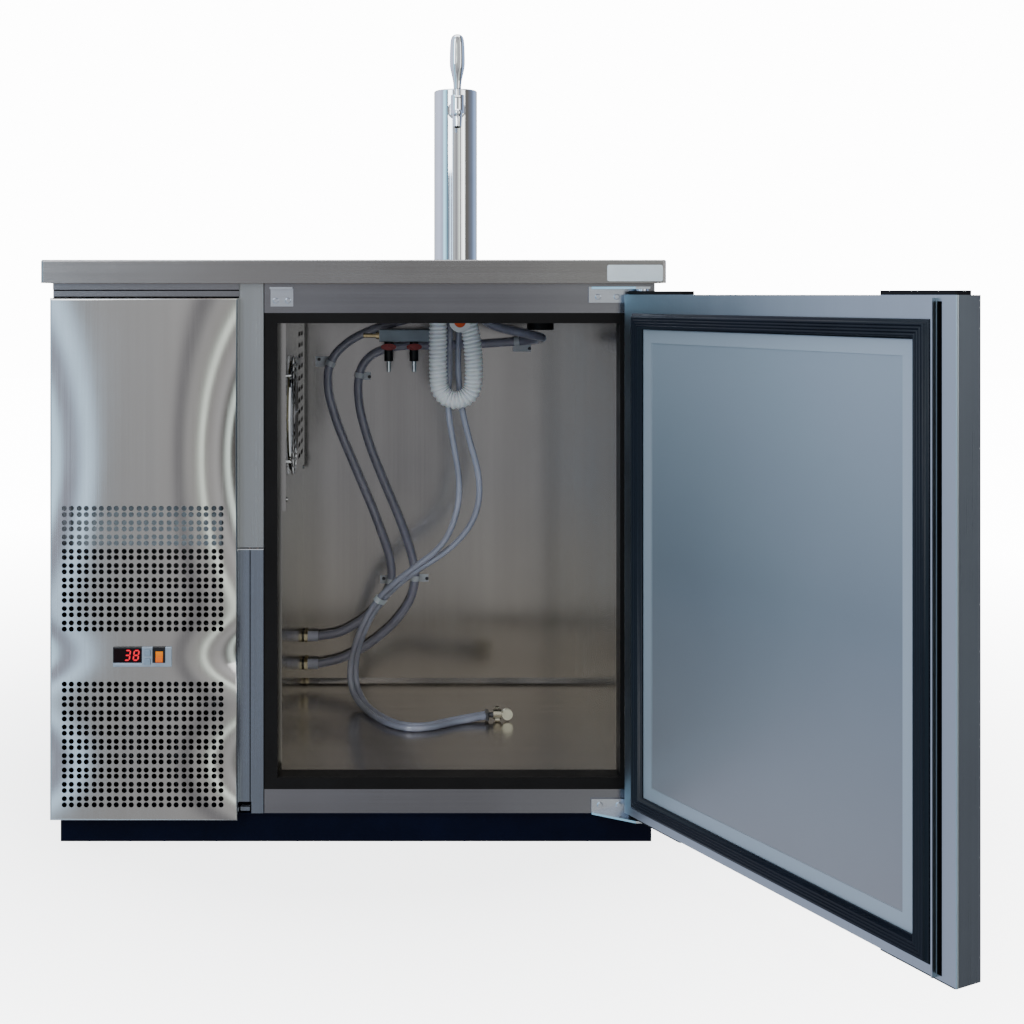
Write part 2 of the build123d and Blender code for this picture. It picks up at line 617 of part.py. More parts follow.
def make_faucet():
    ball_x, ball_y, ball_z = LEVER_PIVOT
    with BuildPart() as faucet:
        collar_y = -COLUMN_RADIUS
        rod((TOWER_X, collar_y, FAUCET_Z), (0, -1, 0), 16, 3)
        hex_nut((TOWER_X, collar_y - 3, FAUCET_Z), (0, -1, 0), 27, 13)
        rod((TOWER_X, collar_y - 16, FAUCET_Z), (0, -1, 0), 11.0, -ball_y + collar_y - 16)
        rod((TOWER_X, ball_y, FAUCET_Z - 10), (0, 0, 1), 11.5, 32)
        with Locations((TOWER_X, ball_y - 5.5, FAUCET_Z - 9)):
            Sphere(8.5)
        spout = (0, -0.22, -1)
        with BuildSketch(Plane((TOWER_X, ball_y, FAUCET_Z - 4), z_dir=spout)) as stem:
            Circle(9.0)
        extrude(stem.sketch, amount=30, taper=4)
        rod((TOWER_X, collar_y, FAUCET_Z), (0, 1, 0), 11.0, 50)
        rod((TOWER_X, -2, FAUCET_Z), (0, 0, -1), 4.0, FAUCET_Z - KEG_CEILING)
        rod((TOWER_X, ball_y - 6.3, FAUCET_Z - 33.5), (0, 0.22, 1), 5.4, 12, Mode.SUBTRACT)
        pocket = LEVER_HALF + 0.4
        rod((ball_x - pocket, ball_y, ball_z), (1, 0, 0), LEVER_ROUND + 0.4, 2 * pocket, Mode.SUBTRACT)
        slot_x = (ball_x - pocket, ball_x + pocket)
        slab(slot_x, (ball_y - 14, ball_y + 5.2), (ball_z, ball_z + 10), Mode.SUBTRACT)
    save(faucet, "faucet_body")
    with BuildPart() as lever:
        rod((ball_x - LEVER_HALF, ball_y, ball_z), (1, 0, 0), LEVER_ROUND, 2 * LEVER_HALF)
        rod(LEVER_PIVOT, (0, 0, 1), 4.0, NECK_RISE)
    save(lever, "tap_lever")
    grip_bottom = ball_z + NECK_RISE
    with BuildPart() as handle:
        with BuildSketch(Plane.XZ.offset(-ball_y)):
            with BuildLine():
                Line((ball_x, grip_bottom), (ball_x + 6.6, grip_bottom))
                Spline(
                    (ball_x + 6.6, grip_bottom),
                    (ball_x + 7.4, grip_bottom + 14),
                    (ball_x + 12.8, grip_bottom + 36),
                    (ball_x + 13.4, grip_bottom + 58),
                    (ball_x + 11.6, HANDLE_TOP - 9),
                    (ball_x, HANDLE_TOP),
                    tangents=((0, 1), (-1, 0)),
                )
                Line((ball_x, HANDLE_TOP), (ball_x, grip_bottom))
            make_face()
        revolve(axis=Axis((ball_x, ball_y, 0), (0, 0, 1)))
    save(handle, "tap_handle")


# ---- gas and beer fittings inside ----
VALVE_XS = {"valve_lever_left": 52.0, "valve_lever_right": 100.0}
VALVE_Y, LEVER_Z = 185.0, 752.5


def make_manifold():
    with BuildPart() as bar:
        slab((34, 164), (172, 198), (762, 785))
        fillet(bar.edges().filter_by(Axis.X), 2)
        for x in (60, 138):
            slab((x - 9, x + 9), (198, KEG_BACK), (768, 780))
        rod((34, VALVE_Y, 773.5), (-1, 0, 0), 7, 6)
        rod((28, VALVE_Y, 773.5), (-1, 0, 0), 4.2, 24)
        for x in VALVE_XS.values():
            rod((x, VALVE_Y, 725), (0, 0, 1), 8.5, 37)
            rod((x, VALVE_Y, 705), (0, 0, 1), 4.0, 20)
            rod((x, VALVE_Y - 12, LEVER_Z), (0, 1, 0), 3.05, 9, Mode.SUBTRACT)
    save(bar, "gas_manifold")
    for name, x in VALVE_XS.items():
        with BuildPart() as lever:
            rod((x, VALVE_Y - 16, LEVER_Z), (0, 1, 0), 3.0, 11)
            with BuildSketch(Plane.XZ.offset(-(VALVE_Y - 16))) as wing:
                with Locations((x, LEVER_Z)):
                    Ellipse(14.5, 6.2)
            extrude(wing.sketch, amount=7)
        save(lever, name)


def make_bulkheads():
    with BuildPart() as fittings:
        for height in BULKHEAD_HEIGHTS:
            rod((-152, HOSE_WALL_Y, height), (1, 0, 0), 8.0, 37)
            rod((KEG_LEFT, HOSE_WALL_Y, height), (1, 0, 0), 10.8, 3)
            hex_nut((KEG_LEFT + 3, HOSE_WALL_Y, height), (1, 0, 0), 20.0, 7)
            rod((KEG_LEFT + 10, HOSE_WALL_Y, height), (1, 0, 0), 9.8, HOSE_START - KEG_LEFT - 10)
            hex_nut((-146, HOSE_WALL_Y, height), (1, 0, 0), 20.0, 7)
    save(fittings, "bulkhead_fittings")


HOSE_A_ROUTE = [
    (HOSE_START, 249, 188),
    (-42, 249, 194),
    (6, 249, 223),
    (41, 249, 258),
    (59, 249, 297),
    (55, 249, 340),
    (26, 249, 423),
    (-13, 249, 515),
    (-48, 249, 598),
    (-66, 249, 660),
    (-67, 249, 705),
    (-53, 249, 736),
    (-23, 249, 763),
    (20, 249, 784),
    (64, 247, 796),
    (104, 243, 808),
    (124, 239, 829),
]
HOSE_B_ROUTE = [
    (HOSE_START, 249, 134),
    (-42, 249, 143),
    (12, 249, 170),
    (64, 249, 214),
    (95, 249, 258),
    (105, 249, 303),
    (97, 249, 346),
    (74, 249, 414),
    (43, 249, 486),
    (14, 249, 559),
    (-5, 249, 627),
    (-9, 249, 676),
    (-2, 249, 711),
    (17, 249, 734),
    (50, 249, 748),
    (92, 249, 753),
    (150, 249, 752),
    (215, 249, 754),
    (270, 249, 758),
    (314, 247, 761),
    (343, 217, 765),
    (344, 174, 770),
    (315, 141, 777),
    (275, 131, 785),
    (244, 119, 794),
    (224, 106, 808),
    (216, 98, 829),
]
DUCT_ROUTE = [
    (141, -14, 831),
    (139.8, -14, 794),
    (139.2, -14, 750),
    (139.5, -14, 713),
    (141.5, -14, 684.2),
    (153.3, -14, 669.8),
    (171.2, -14, 664.3),
    (189.1, -14, 669.8),
    (201, -14, 684.2),
    (203.2, -14, 713),
    (201.8, -14, 750),
    (196, -14, 794),
    (186, -14, 830),
]
LINE_1_ROUTE = [
    (163, 18, 832),
    (161, 18, 770),
    (161, 17, 712),
    (157, 15, 650),
    (167, 15, 590),
    (179, 20, 525),
    (178, 30, 475),
    (164, 44, 424),
    (141, 54, 389),
    (100, 65, 357),
    (64, 75, 328),
    (34, 84, 297),
    (9, 94, 257),
    (-9, 104, 210),
    (-20, 112, 163),
    (-17, 108, 122),
    (2, 76, 101),
    (24, 20, 100.7),
    (50, -30, 100.8),
    (86, -60, 100.7),
    (127, -53, 100.8),
    (160, -26, 100.7),
    (193, -7, 101.5),
    (224, 0.5, 105),
]
LINE_2_ROUTE = [
    (179, 20, 832),
    (177, 20, 770),
    (176, 19, 712),
    (182, 18, 650),
    (196, 18, 593),
    (211, 24, 543),
    (217, 33, 495),
    (208, 47, 449),
    (184, 58, 410),
    (148, 66, 378),
    (106, 74, 351),
    (70, 84, 322),
    (40, 93, 291),
    (16, 103, 252),
    (-1, 113, 208),
    (-10, 121, 163),
    (-7, 117, 124),
    (11, 84, 101),
    (35, 25, 100.7),
    (62, -24, 100.8),
    (91, -45, 100.7),
    (122, -40, 100.8),
    (153, -16, 100.7),
    (188, 4, 101.5),
    (224, 13.5, 105),
]


def make_hoses():
    lines = {
        "gas_hose_a": hose(HOSE_A_ROUTE, GAS_HOSE, "gas_hose_a"),
        "gas_hose_b": hose(HOSE_B_ROUTE, GAS_HOSE, "gas_hose_b"),
    }
    hose(DUCT_ROUTE, DUCT, "duct_hose")
    lines["beer_line_1"] = hose(LINE_1_ROUTE, BEER_LINE, "beer_line_1")
    lines["beer_line_2"] = hose(LINE_2_ROUTE, BEER_LINE, "beer_line_2")
    return lines


def share_near(line, target):
    """The share of a line's length at the point nearest a target point."""
    steps = 600
    return min(range(steps + 1), key=lambda step: (line @ (step / steps) - Vector(*target)).length) / steps


def make_pipe_clips(lines):
    """Saddle clips: a band round the hose and a tab screwed to the back wall."""
    clips = [
        ("gas_hose_a", (-63, 249, 718), -84, 725),
        ("gas_hose_b", (-5, 249, 694), 14, 691),
        ("gas_hose_a", (60, 249, 293), 42, 298),
        ("gas_hose_b", (105, 249, 300), 126, 298),
        ("gas_hose_b", (300, 248, 760), 326, 746),
    ]
    inner = GAS_HOSE / 2 + 0.3
    with BuildPart() as group:
        for name, near, tab_x, tab_z in clips:
            line = lines[name]
            share = share_near(line, near)
            middle, along = line @ share, line % share
            start = middle - along * 5
            ring((start.X, start.Y, start.Z), (along.X, along.Y, along.Z), inner + 1.2, inner, 10)
            left, right = sorted((tab_x, middle.X))
            low, high = sorted((tab_z, middle.Z))
            slab((left - 7, right + 3), (KEG_BACK - 1.3, KEG_BACK), (low - 6, high + 6))
            screw_head((tab_x, KEG_BACK - 1.3, tab_z), (0, -1, 0), 3.5)
    save(group, "pipe_clips")


HOSE_SEAT = 826.0  # underside of the sockets that the hoses push into


def make_ceiling_fittings():
    with BuildPart() as fittings:
        rod((TOWER_X, 0, HOSE_SEAT), (0, 0, 1), 48, KEG_CEILING - HOSE_SEAT)
        slab((118, 140), (-32, 4), (HOSE_SEAT, KEG_CEILING))
        for x, y in ((124, 239), (216, 98)):
            rod((x, y, HOSE_SEAT), (0, 0, 1), 13, KEG_CEILING - HOSE_SEAT)
        rod((325, 40, 800), (0, 0, 1), 30, 35)
        rod((325, 40, 788), (0, 0, 1), 24, 12)
    save(fittings, "ceiling_fittings")
    with BuildPart() as collar:
        ring((177, -42, 804), (0, 1, 0), 18.5, 10.2, 9)
        slab((172, 182), (-40, -35), (821, HOSE_SEAT))
        rod((177, -41, 804), (0, 1, 0), 9.9, 8)
        rod((177, -36, 804), (0, 1, 0), 12, 3)
    save(collar, "tower_light")


def make_line_end(lines):
    """The twin tail and wing nut that screws onto a keg coupler, lying on the floor."""
    middle_y, middle_z = 7.25, 107.0
    with BuildPart() as coupler:
        slab((224, 230), (-6, 20.5), (99, 112), corner=2.5)
        rod((230, middle_y, 105.5), (1, 0, 0), 4.5, 8)
        rod((238, middle_y, middle_z), (1, 0, 0), 9.0, 14)
        slant = (0, cos(radians(45)), sin(radians(45)))
        wings = Plane((241, middle_y, middle_z), x_dir=slant, z_dir=(1, 0, 0))
        slab((-15, 15), (-4, 4), (0, 8), base=wings, corner=3.5)
        rod((252, middle_y, middle_z), (1, 0, 0), 5.0, 6)
        rod((262, middle_y + 5, middle_z), (0.1, -0.99, 0), 9.5, 10)
    save(coupler, "keg_nut")
    first, second = lines["beer_line_1"], lines["beer_line_2"]
    share = share_near(first, (33, 85, 294))
    start, along = first @ share, first % share
    gap = second @ share_near(second, (start.X, start.Y, start.Z)) - start
    across = gap - along * gap.dot(along)
    middle = start + across * 0.5 - along * 5
    length, height = across.length + BEER_LINE, BEER_LINE
    with BuildPart() as tie:
        with BuildSketch(Plane(middle, x_dir=across, z_dir=along)):
            SlotOverall(length + 3.4, height + 3.4)
            SlotOverall(length + 0.8, height + 0.8, mode=Mode.SUBTRACT)
        extrude(amount=10)
    save(tie, "line_tie")


# ---- hinges and screws ----
def hinge_arm(bottom, top):
    """A flat arm that widens from the cabinet's face out to the pin."""
    face, front = -BODY_FACE, PIVOT_Y - 12
    with BuildSketch(Plane.XY.offset(bottom)) as outline:
        with BuildLine():
            Polyline((368, face), (368, face - 6), (430, front), (452, front), (452, face), close=True)
        make_face()
    extrude(outline.sketch, amount=top - bottom)


def make_hinge_brackets():
    face = -BODY_FACE
    with BuildPart() as brackets:
        slab((364, 433), (face - 4, face), (839, 863.5))
        hinge_arm(860, 863.5)
        rod((PIVOT_X, PIVOT_Y, 838), (0, 0, 1), PIN_RADIUS, 22)
        rod((PIVOT_X, PIVOT_Y, DOOR_TOP + EDGE_PLATE + 0.3), (0, 0, 1), 9, 860 - DOOR_TOP - EDGE_PLATE - 0.3)
        slab((368, 425), (face - 4, face), (47.5, GASKET_Z[0] - 1))
        hinge_arm(47.0, 50.2)
        rod((PIVOT_X, PIVOT_Y, 50), (0, 0, 1), PIN_RADIUS, 20)
        for x, z in ((378, 848), (407, 848), (381, 61), (410, 61)):
            screw_head((x, face - 4, z), (0, -1, 0), 4.5)
        slab((-129, -94), (face - 3, face), (833, 856))
        slab((-129, -94), (face - 22, face), (860, 863))
        slab((-129, -94), (face - 3, face), (856, 860))
        for x in (-121, -102):
            screw_head((x, face - 3, 842), (0, -1, 0), 4.5)
    save(brackets, "hinge_brackets")


def make_screws():
    with BuildPart() as screws:
        for x in (-93, -25, 34, 92, 147, 216, 272, 338, 398):
            screw_head((x, KEG_FRONT + 10, KEG_FLOOR), (0, 0, 1), 3.5)
    save(screws, "floor_screws")


# ---- door, drawn along its own length from the hinge pivot ----
DOOR = Plane(
    (PIVOT_X, PIVOT_Y, 0),
    x_dir=(-cos(radians(DOOR_OPEN)), -sin(radians(DOOR_OPEN)), 0),
    z_dir=(0, 0, 1),
)
INNER_FACE, OUTER_FACE = -DOOR_HALF_THICK, DOOR_HALF_THICK
GASKET_U, GASKET_Z = (7.0, 580.0), (71.0, 823.0)
GASKET_WIDE, GASKET_THICK = 24.0, 11.7
BREAK_U, BREAK_Z, BREAK_DEEP = (586.5, 594.0), (62.0, 844.0), 15.0


def pin_hole(radius, bottom, top):
    for low, high in ((DOOR_BOTTOM - EDGE_PLATE, bottom), (top, DOOR_TOP + EDGE_PLATE)):
        rod((PIVOT_X, PIVOT_Y, low), (0, 0, 1), radius, high - low, Mode.SUBTRACT)


def make_door():
    outer_u, outer_y = (DOOR_HINGE_EDGE, DOOR_FREE_EDGE), (INNER_FACE, OUTER_FACE)
    core_u = (DOOR_HINGE_EDGE + DOOR_SHEET, DOOR_FREE_EDGE - DOOR_SHEET)
    core_y = (INNER_FACE + DOOR_SHEET, OUTER_FACE - DOOR_SHEET)
    core_z = (DOOR_BOTTOM + DOOR_SHEET, DOOR_TOP - DOOR_SHEET)
    lined_u = (GASKET_U[0] + GASKET_WIDE - 8, GASKET_U[1] - GASKET_WIDE + 8)
    lined_z = (GASKET_Z[0] + GASKET_WIDE - 8, GASKET_Z[1] - GASKET_WIDE + 8)
    with BuildPart() as skin:
        slab(outer_u, outer_y, (DOOR_BOTTOM, DOOR_TOP), base=DOOR, corner=2.5)
        slab(core_u, core_y, core_z, Mode.SUBTRACT, base=DOOR)
        slab(lined_u, (INNER_FACE, INNER_FACE + DOOR_SHEET), lined_z, Mode.SUBTRACT, base=DOOR)
        slab(BREAK_U, (INNER_FACE, INNER_FACE + DOOR_SHEET), BREAK_Z, Mode.SUBTRACT, base=DOOR)
        lip_u = (BREAK_U[0] - 3.0, BREAK_U[0] - 0.6)
        slab(lip_u, (INNER_FACE - 7, INNER_FACE), (BREAK_Z[0] - 4, BREAK_Z[1] + 4), base=DOOR)
        pin_hole(PIN_RADIUS + PIN_CLEARANCE, 76, 832)
    save(skin, "door_skin")
    with BuildPart() as foam:
        slab(core_u, core_y, core_z, base=DOOR)
        slab(
            (BREAK_U[0] - 1, BREAK_U[1] + 1),
            (core_y[0], INNER_FACE + BREAK_DEEP + 1),
            (BREAK_Z[0] - 1, BREAK_Z[1] + 1),
            Mode.SUBTRACT,
            base=DOOR,
        )
        pin_hole(PIN_RADIUS + 2, 76, 832)
    save(foam, "door_foam")
    with BuildPart() as liner:
        slab(lined_u, (INNER_FACE - 1.5, INNER_FACE + DOOR_SHEET), lined_z, base=DOOR)
        slab(
            (lined_u[0] + 28, lined_u[1] - 28),
            (INNER_FACE - 1.5, INNER_FACE - 0.5),
            (lined_z[0] + 28, lined_z[1] - 28),
            Mode.SUBTRACT,
            base=DOOR,
        )
    save(liner, "door_liner")
    gasket_inner = INNER_FACE - 1.5
    seat = Plane(DOOR.from_local_coords(Vector(0, gasket_inner, 0)), x_dir=DOOR.x_dir, z_dir=-DOOR.y_dir)
    up = seat.y_dir.Z
    low, high = (up * z for z in GASKET_Z)
    outer = rectangle_corners(GASKET_U, (low, high))
    inner_u = (GASKET_U[0] + GASKET_WIDE, GASKET_U[1] - GASKET_WIDE)
    inner = rectangle_corners(inner_u, (low + up * GASKET_WIDE, high - up * GASKET_WIDE))
    save_group(mitred_bars(outer, inner, seat, GASKET_THICK - 1.5), "door_gasket")
    around_u, around_z = (BREAK_U[0] - 1, BREAK_U[1] + 1), (BREAK_Z[0] - 1, BREAK_Z[1] + 1)
    with BuildPart() as channel:
        slab(around_u, (INNER_FACE + DOOR_SHEET, INNER_FACE + BREAK_DEEP + 1), around_z, base=DOOR)
        slab(BREAK_U, (INNER_FACE, INNER_FACE + BREAK_DEEP), BREAK_Z, Mode.SUBTRACT, base=DOOR)
    save(channel, "thermal_break")
    with BuildPart() as plates:
        for u in ((DOOR_HINGE_EDGE + 2, 108), (492, DOOR_FREE_EDGE - 8)):
            for z in ((DOOR_TOP, DOOR_TOP + EDGE_PLATE), (DOOR_BOTTOM - EDGE_PLATE, DOOR_BOTTOM)):
                slab(u, (-14, 14), z, base=DOOR, corner=3)
        pin_hole(PIN_RADIUS + PIN_CLEARANCE, DOOR_BOTTOM, DOOR_TOP)
    save(plates, "door_edge_plates")


make_plinth()
make_outer_shell()
make_insulation()
make_liner()
make_front_frame()
make_breaker_frame()
make_countertop()
make_grille_panel()
make_controller()
make_rear_panel()
make_machine()
make_refrigerant_lines()
make_evaporator()
make_tower()
make_faucet()
make_manifold()
make_bulkheads()
hose_lines = make_hoses()
make_pipe_clips(hose_lines)
make_ceiling_fittings()
make_line_end(hose_lines)
make_hinge_brackets()
make_screws()
make_door()
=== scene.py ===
import math

import bmesh
import bpy
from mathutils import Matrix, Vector


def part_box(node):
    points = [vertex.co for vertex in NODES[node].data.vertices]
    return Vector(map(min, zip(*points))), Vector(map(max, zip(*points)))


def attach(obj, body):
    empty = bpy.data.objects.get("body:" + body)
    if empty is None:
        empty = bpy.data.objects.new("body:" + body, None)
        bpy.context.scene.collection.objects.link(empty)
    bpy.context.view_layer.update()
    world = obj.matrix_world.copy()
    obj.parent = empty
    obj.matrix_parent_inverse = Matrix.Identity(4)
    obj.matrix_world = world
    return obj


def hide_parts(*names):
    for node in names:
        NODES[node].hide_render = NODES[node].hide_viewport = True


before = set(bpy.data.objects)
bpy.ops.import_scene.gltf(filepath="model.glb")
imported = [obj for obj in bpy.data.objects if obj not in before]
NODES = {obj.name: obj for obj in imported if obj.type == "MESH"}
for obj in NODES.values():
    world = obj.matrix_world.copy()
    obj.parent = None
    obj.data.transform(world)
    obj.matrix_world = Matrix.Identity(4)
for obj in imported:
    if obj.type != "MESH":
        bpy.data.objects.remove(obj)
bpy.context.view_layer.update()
MM = 0.001
SOFT_EDGE = 0.3 * MM  # half the width over which one colour gives way to the next


def metres(points):
    return [tuple(MM * value for value in point) for point in points]


# ---- camera ----
def make_camera():
    data = bpy.data.cameras.new("camera")
    data.lens = 50.8
    data.shift_x = 0.115
    data.shift_y = -0.213
    data.clip_start, data.clip_end = 0.05, 60
    camera = bpy.data.objects.new("camera", data)
    camera.location = (0.0625, -2.557, 0.8525)
    camera.rotation_euler = (math.radians(90), 0, 0)
    bpy.context.collection.objects.link(camera)
    bpy.context.scene.camera = camera


make_camera()


# ---- node helpers ----
class Graph:
    """A material with a Principled shader and short calls for the nodes that feed it."""

    def __init__(self, name, color=(0.8, 0.8, 0.8), **sockets):
        self.material = bpy.data.materials.new(name)
        self.material.use_nodes = True
        self.tree = self.material.node_tree
        self.shader = self.tree.nodes["Principled BSDF"]
        self.shader.inputs["Base Color"].default_value = (*color, 1)
        for socket, value in sockets.items():
            self.shader.inputs[socket.replace("_", " ")].default_value = value

    def add(self, kind, inputs=None, **settings):
        node = self.tree.nodes.new("ShaderNode" + kind)
        for key, value in settings.items():
            setattr(node, key, value)
        for key, value in (inputs or {}).items():
            if isinstance(value, bpy.types.NodeSocket):
                self.tree.links.new(value, node.inputs[key])
            else:
                node.inputs[key].default_value = value
        return node

    def place(self):
        return self.add("TexCoord").outputs["Object"]

    def noise(self, scale, detail=2.0, stretch=(1, 1, 1), rough=0.5):
        mapping = self.add("Mapping", {"Vector": self.place(), "Scale": stretch})
        inputs = {"Vector": mapping.outputs["Vector"], "Scale": scale, "Detail": detail, "Roughness": rough}
        return self.add("TexNoise", inputs).outputs["Fac"]

    def span(self, value, low, high, start=0.3, end=0.7):
        """Low where value is at start or below, high where it is at end or above."""
        inputs = {"Value": value, "From Min": start, "From Max": end, "To Min": low, "To Max": high}
        return self.add("MapRange", inputs).outputs["Result"]

    def blend(self, factor, first, second):
        """A mix of two colours, each a socket or three numbers."""
        inputs = {"Factor": factor}
        for index, color in ((6, first), (7, second)):
            inputs[index] = color if isinstance(color, bpy.types.NodeSocket) else (*color, 1)
        return self.add("Mix", inputs, data_type="RGBA").outputs[2]

    def mix(self, factor, first, second):
        """A mix of two numbers."""
        return self.add("Mix", {"Factor": factor, 2: first, 3: second}, data_type="FLOAT").outputs[0]

    def bump(self, height, distance, after=None):
        inputs = {"Height": height, "Distance": distance, "Strength": 1.0}
        if after is not None:
            inputs["Normal"] = after
        return self.add("Bump", inputs).outputs["Normal"]

    def axis(self, name):
        return self.add("SeparateXYZ", {"Vector": self.place()}).outputs[name]

    def math(self, operation, first, second=0.0):
        return self.add("Math", {0: first, 1: second}, operation=operation).outputs[0]

    def inside(self, axis, low, high, soft=SOFT_EDGE):
        """1 where a coordinate, a name or a socket, lies between two values in metres, 0 elsewhere."""
        place = axis if isinstance(axis, bpy.types.NodeSocket) else self.axis(axis)
        above = self.span(place, 0, 1, low - soft, low + soft)
        below = self.span(place, 1, 0, high - soft, high + soft)
        return self.math("MULTIPLY", above, below)

    def near(self, x, z, reach):
        """1 within reach of a point, as seen from the front, and 0 elsewhere."""
        gap = self.add("VectorMath", {0: self.place(), 1: (x, 0, z)}, operation="SUBTRACT").outputs[0]
        flat = self.add("VectorMath", {0: gap, 1: (1, 0, 1)}, operation="MULTIPLY").outputs[0]
        length = self.add("VectorMath", {0: flat}, operation="LENGTH").outputs["Value"]
        return self.span(length, 1, 0, reach - SOFT_EDGE, reach + SOFT_EDGE)

    def feed(self, **links):
        """Link the shader's sockets and return the material."""
        for socket, value in links.items():
            self.tree.links.new(value, self.shader.inputs[socket.replace("_", " ")])
        return self.material


def tint(color, factor):
    return tuple(min(1.0, part * factor) for part in color)


def slab(axis, low, high):
    """A mask for the material functions: the part between two values in metres on an axis."""
    return lambda g: g.inside(axis, low, high)


def disc(x, z, reach):
    """A mask for the material functions: the part within reach of a point, as seen from the front."""
    return lambda g: g.near(x, z, reach)


# how closely the noise repeats along X, Y and Z, for a grain along X or Z
STREAK = {"x": (1.2, 700, 700), "z": (700, 700, 1.2)}
BAND = {"x": (0.5, 22, 22), "z": (22, 22, 0.5)}
PANEL_LOW, PANEL_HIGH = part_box("grille_panel")
PANEL_MIDDLE, PANEL_HALF = (PANEL_LOW.x + PANEL_HIGH.x) / 2, (PANEL_HIGH.x - PANEL_LOW.x) / 2
# where the panel's sides roll off: middle height, spread and steepness
BULGES = ((0.60, 0.22, 0.17), (0.295, 0.045, 0.13), (0.13, 0.07, 0.12))


def panel_bulge(g):
    """How far the thin panel stands out, in metres: flat down the middle, rolling off towards the sides."""
    left_weight, right_weight = 1.0, 3.4
    across = g.math("DIVIDE", g.math("SUBTRACT", g.axis("X"), PANEL_MIDDLE), PANEL_HALF)
    cubed = g.math("POWER", g.math("ABSOLUTE", across), 3.0)
    weight = g.span(across, left_weight, right_weight, -0.01, 0.01)
    steep = None
    for middle, half, amount in BULGES:
        away = g.math("DIVIDE", g.math("SUBTRACT", g.axis("Z"), middle), half)
        falling = g.math("MULTIPLY", g.math("MULTIPLY", away, away), -1.0)
        part = g.math("MULTIPLY", g.math("EXPONENT", falling), amount)
        steep = part if steep is None else g.math("ADD", steep, part)
    rolled = g.math("MULTIPLY", g.math("MULTIPLY", cubed, weight), steep)
    return g.math("MULTIPLY", rolled, -PANEL_HALF / 3)


def brushed(name, color, grain, rough, wave=0.0, cloud=0.1, height=None, lines=(), foot=None):
    """Brushed steel: streaks along the grain, rolled bands and faint marks.

    wave is how far the sheet buckles, height a function for its bulges, lines are (mask, color) pairs
    of painted shade for seams and painted highlights for edges, and foot is a (low, high, color) tint that
    fades upwards.
    """
    g = Graph(name, color, Metallic=1.0)
    streak = g.noise(1.0, 4.0, STREAK[grain], rough=0.7)
    band = g.noise(1.0, 2.0, BAND[grain])
    smudge = g.noise(5.0, 5.0, rough=0.6)
    fine = g.blend(g.span(streak, 0, 1), tint(color, 0.95), tint(color, 1.04))
    broad = g.blend(g.span(band, 0, 1), tint(color, 1 - cloud), tint(color, 1 + cloud))
    tone = g.blend(0.5, fine, broad)
    if foot is not None:
        low, high, warm = foot
        tone = g.blend(g.span(g.axis("Z"), 0.8, 0, low, high), tone, warm)
    # painted shade in seams and painted highlights on edges
    for mask, other in lines:
        tone = g.blend(mask(g), tone, other)
    roughness = g.math("ADD", g.span(streak, rough - 0.03, rough + 0.04), g.span(smudge, -0.02, 0.04))
    normal = g.bump(streak, 0.00001)
    if wave:
        buckle = g.noise(3.2, 1.0, (1.6, 1.6, 0.8))
        normal = g.bump(buckle, wave, after=normal)
    if height is not None:
        normal = g.bump(height(g), 1.0, after=normal)
    return g.feed(Base_Color=tone, Roughness=roughness, Normal=normal)


def polished(name, color, rough):
    """Bare polished metal with a faint smear."""
    g = Graph(name, color, Metallic=1.0)
    smear = g.noise(30.0, 4.0)
    film = g.blend(g.span(smear, 0, 1), tint(color, 0.94), color)
    return g.feed(Base_Color=film, Roughness=g.span(smear, rough, rough + 0.05))


def moulded(name, color, rough, grain=900.0, depth=0.00003, marks=(), **sockets):
    """Moulded plastic or rubber with a fine grain; marks are (mask, color) pairs of another colour."""
    g = Graph(name, color, **sockets)
    fine = g.noise(grain)
    patch = g.noise(14.0, 3.0)
    tone = g.blend(g.span(patch, 0, 1), tint(color, 0.88), tint(color, 1.12))
    for mask, other in marks:
        tone = g.blend(mask(g), tone, other)
    gloss = g.span(patch, rough - 0.05, rough + 0.07)
    return g.feed(Base_Color=tone, Roughness=gloss, Normal=g.bump(fine, depth))


def painted(name, color, rough, ior=1.45):
    """Paint with a slight orange peel and patches of dust."""
    g = Graph(name, color, IOR=ior)
    peel = g.noise(260.0)
    dust = g.noise(9.0, 6.0, rough=0.65)
    tone = g.blend(g.span(dust, 0, 1, 0.45, 0.75), color, tint(color, 1.5))
    return g.feed(Base_Color=tone, Roughness=g.span(dust, rough, rough + 0.2), Normal=g.bump(peel, 0.00004))


def tubing(name, color, rough, through, shade):
    """Soft vinyl tubing: part clear, with cloudy patches along it that are darker by shade."""
    g = Graph(name, color, IOR=1.5, Transmission_Weight=through, Coat_Weight=0.5, Coat_Roughness=0.06)
    cloud = g.noise(18.0, 3.0)
    tone = g.blend(g.span(cloud, 0, 1), tint(color, shade), color)
    return g.feed(Base_Color=tone, Roughness=g.span(cloud, rough, rough + 0.08))


def parted(name, parts, base_color, base_metal, base_rough):
    """A node of several materials, told apart by place: parts are (mask, color, metal, roughness)."""
    g = Graph(name, base_color, IOR=1.35)
    patch = g.noise(24.0, 4.0)

    def cloudy(color):
        return g.blend(g.span(patch, 0, 1), tint(color, 0.85), tint(color, 1.1))

    tone, metal, rough = cloudy(base_color), base_metal, g.span(patch, base_rough, base_rough + 0.08)
    for mask, other, other_metal, other_rough in parts:
        here = mask(g)
        tone = g.blend(here, tone, cloudy(other))
        metal = g.mix(here, metal, other_metal)
        rough = g.mix(here, rough, other_rough)
    fine = g.noise(700.0)
    return g.feed(Base_Color=tone, Metallic=metal, Roughness=rough, Normal=g.bump(fine, 0.00003))


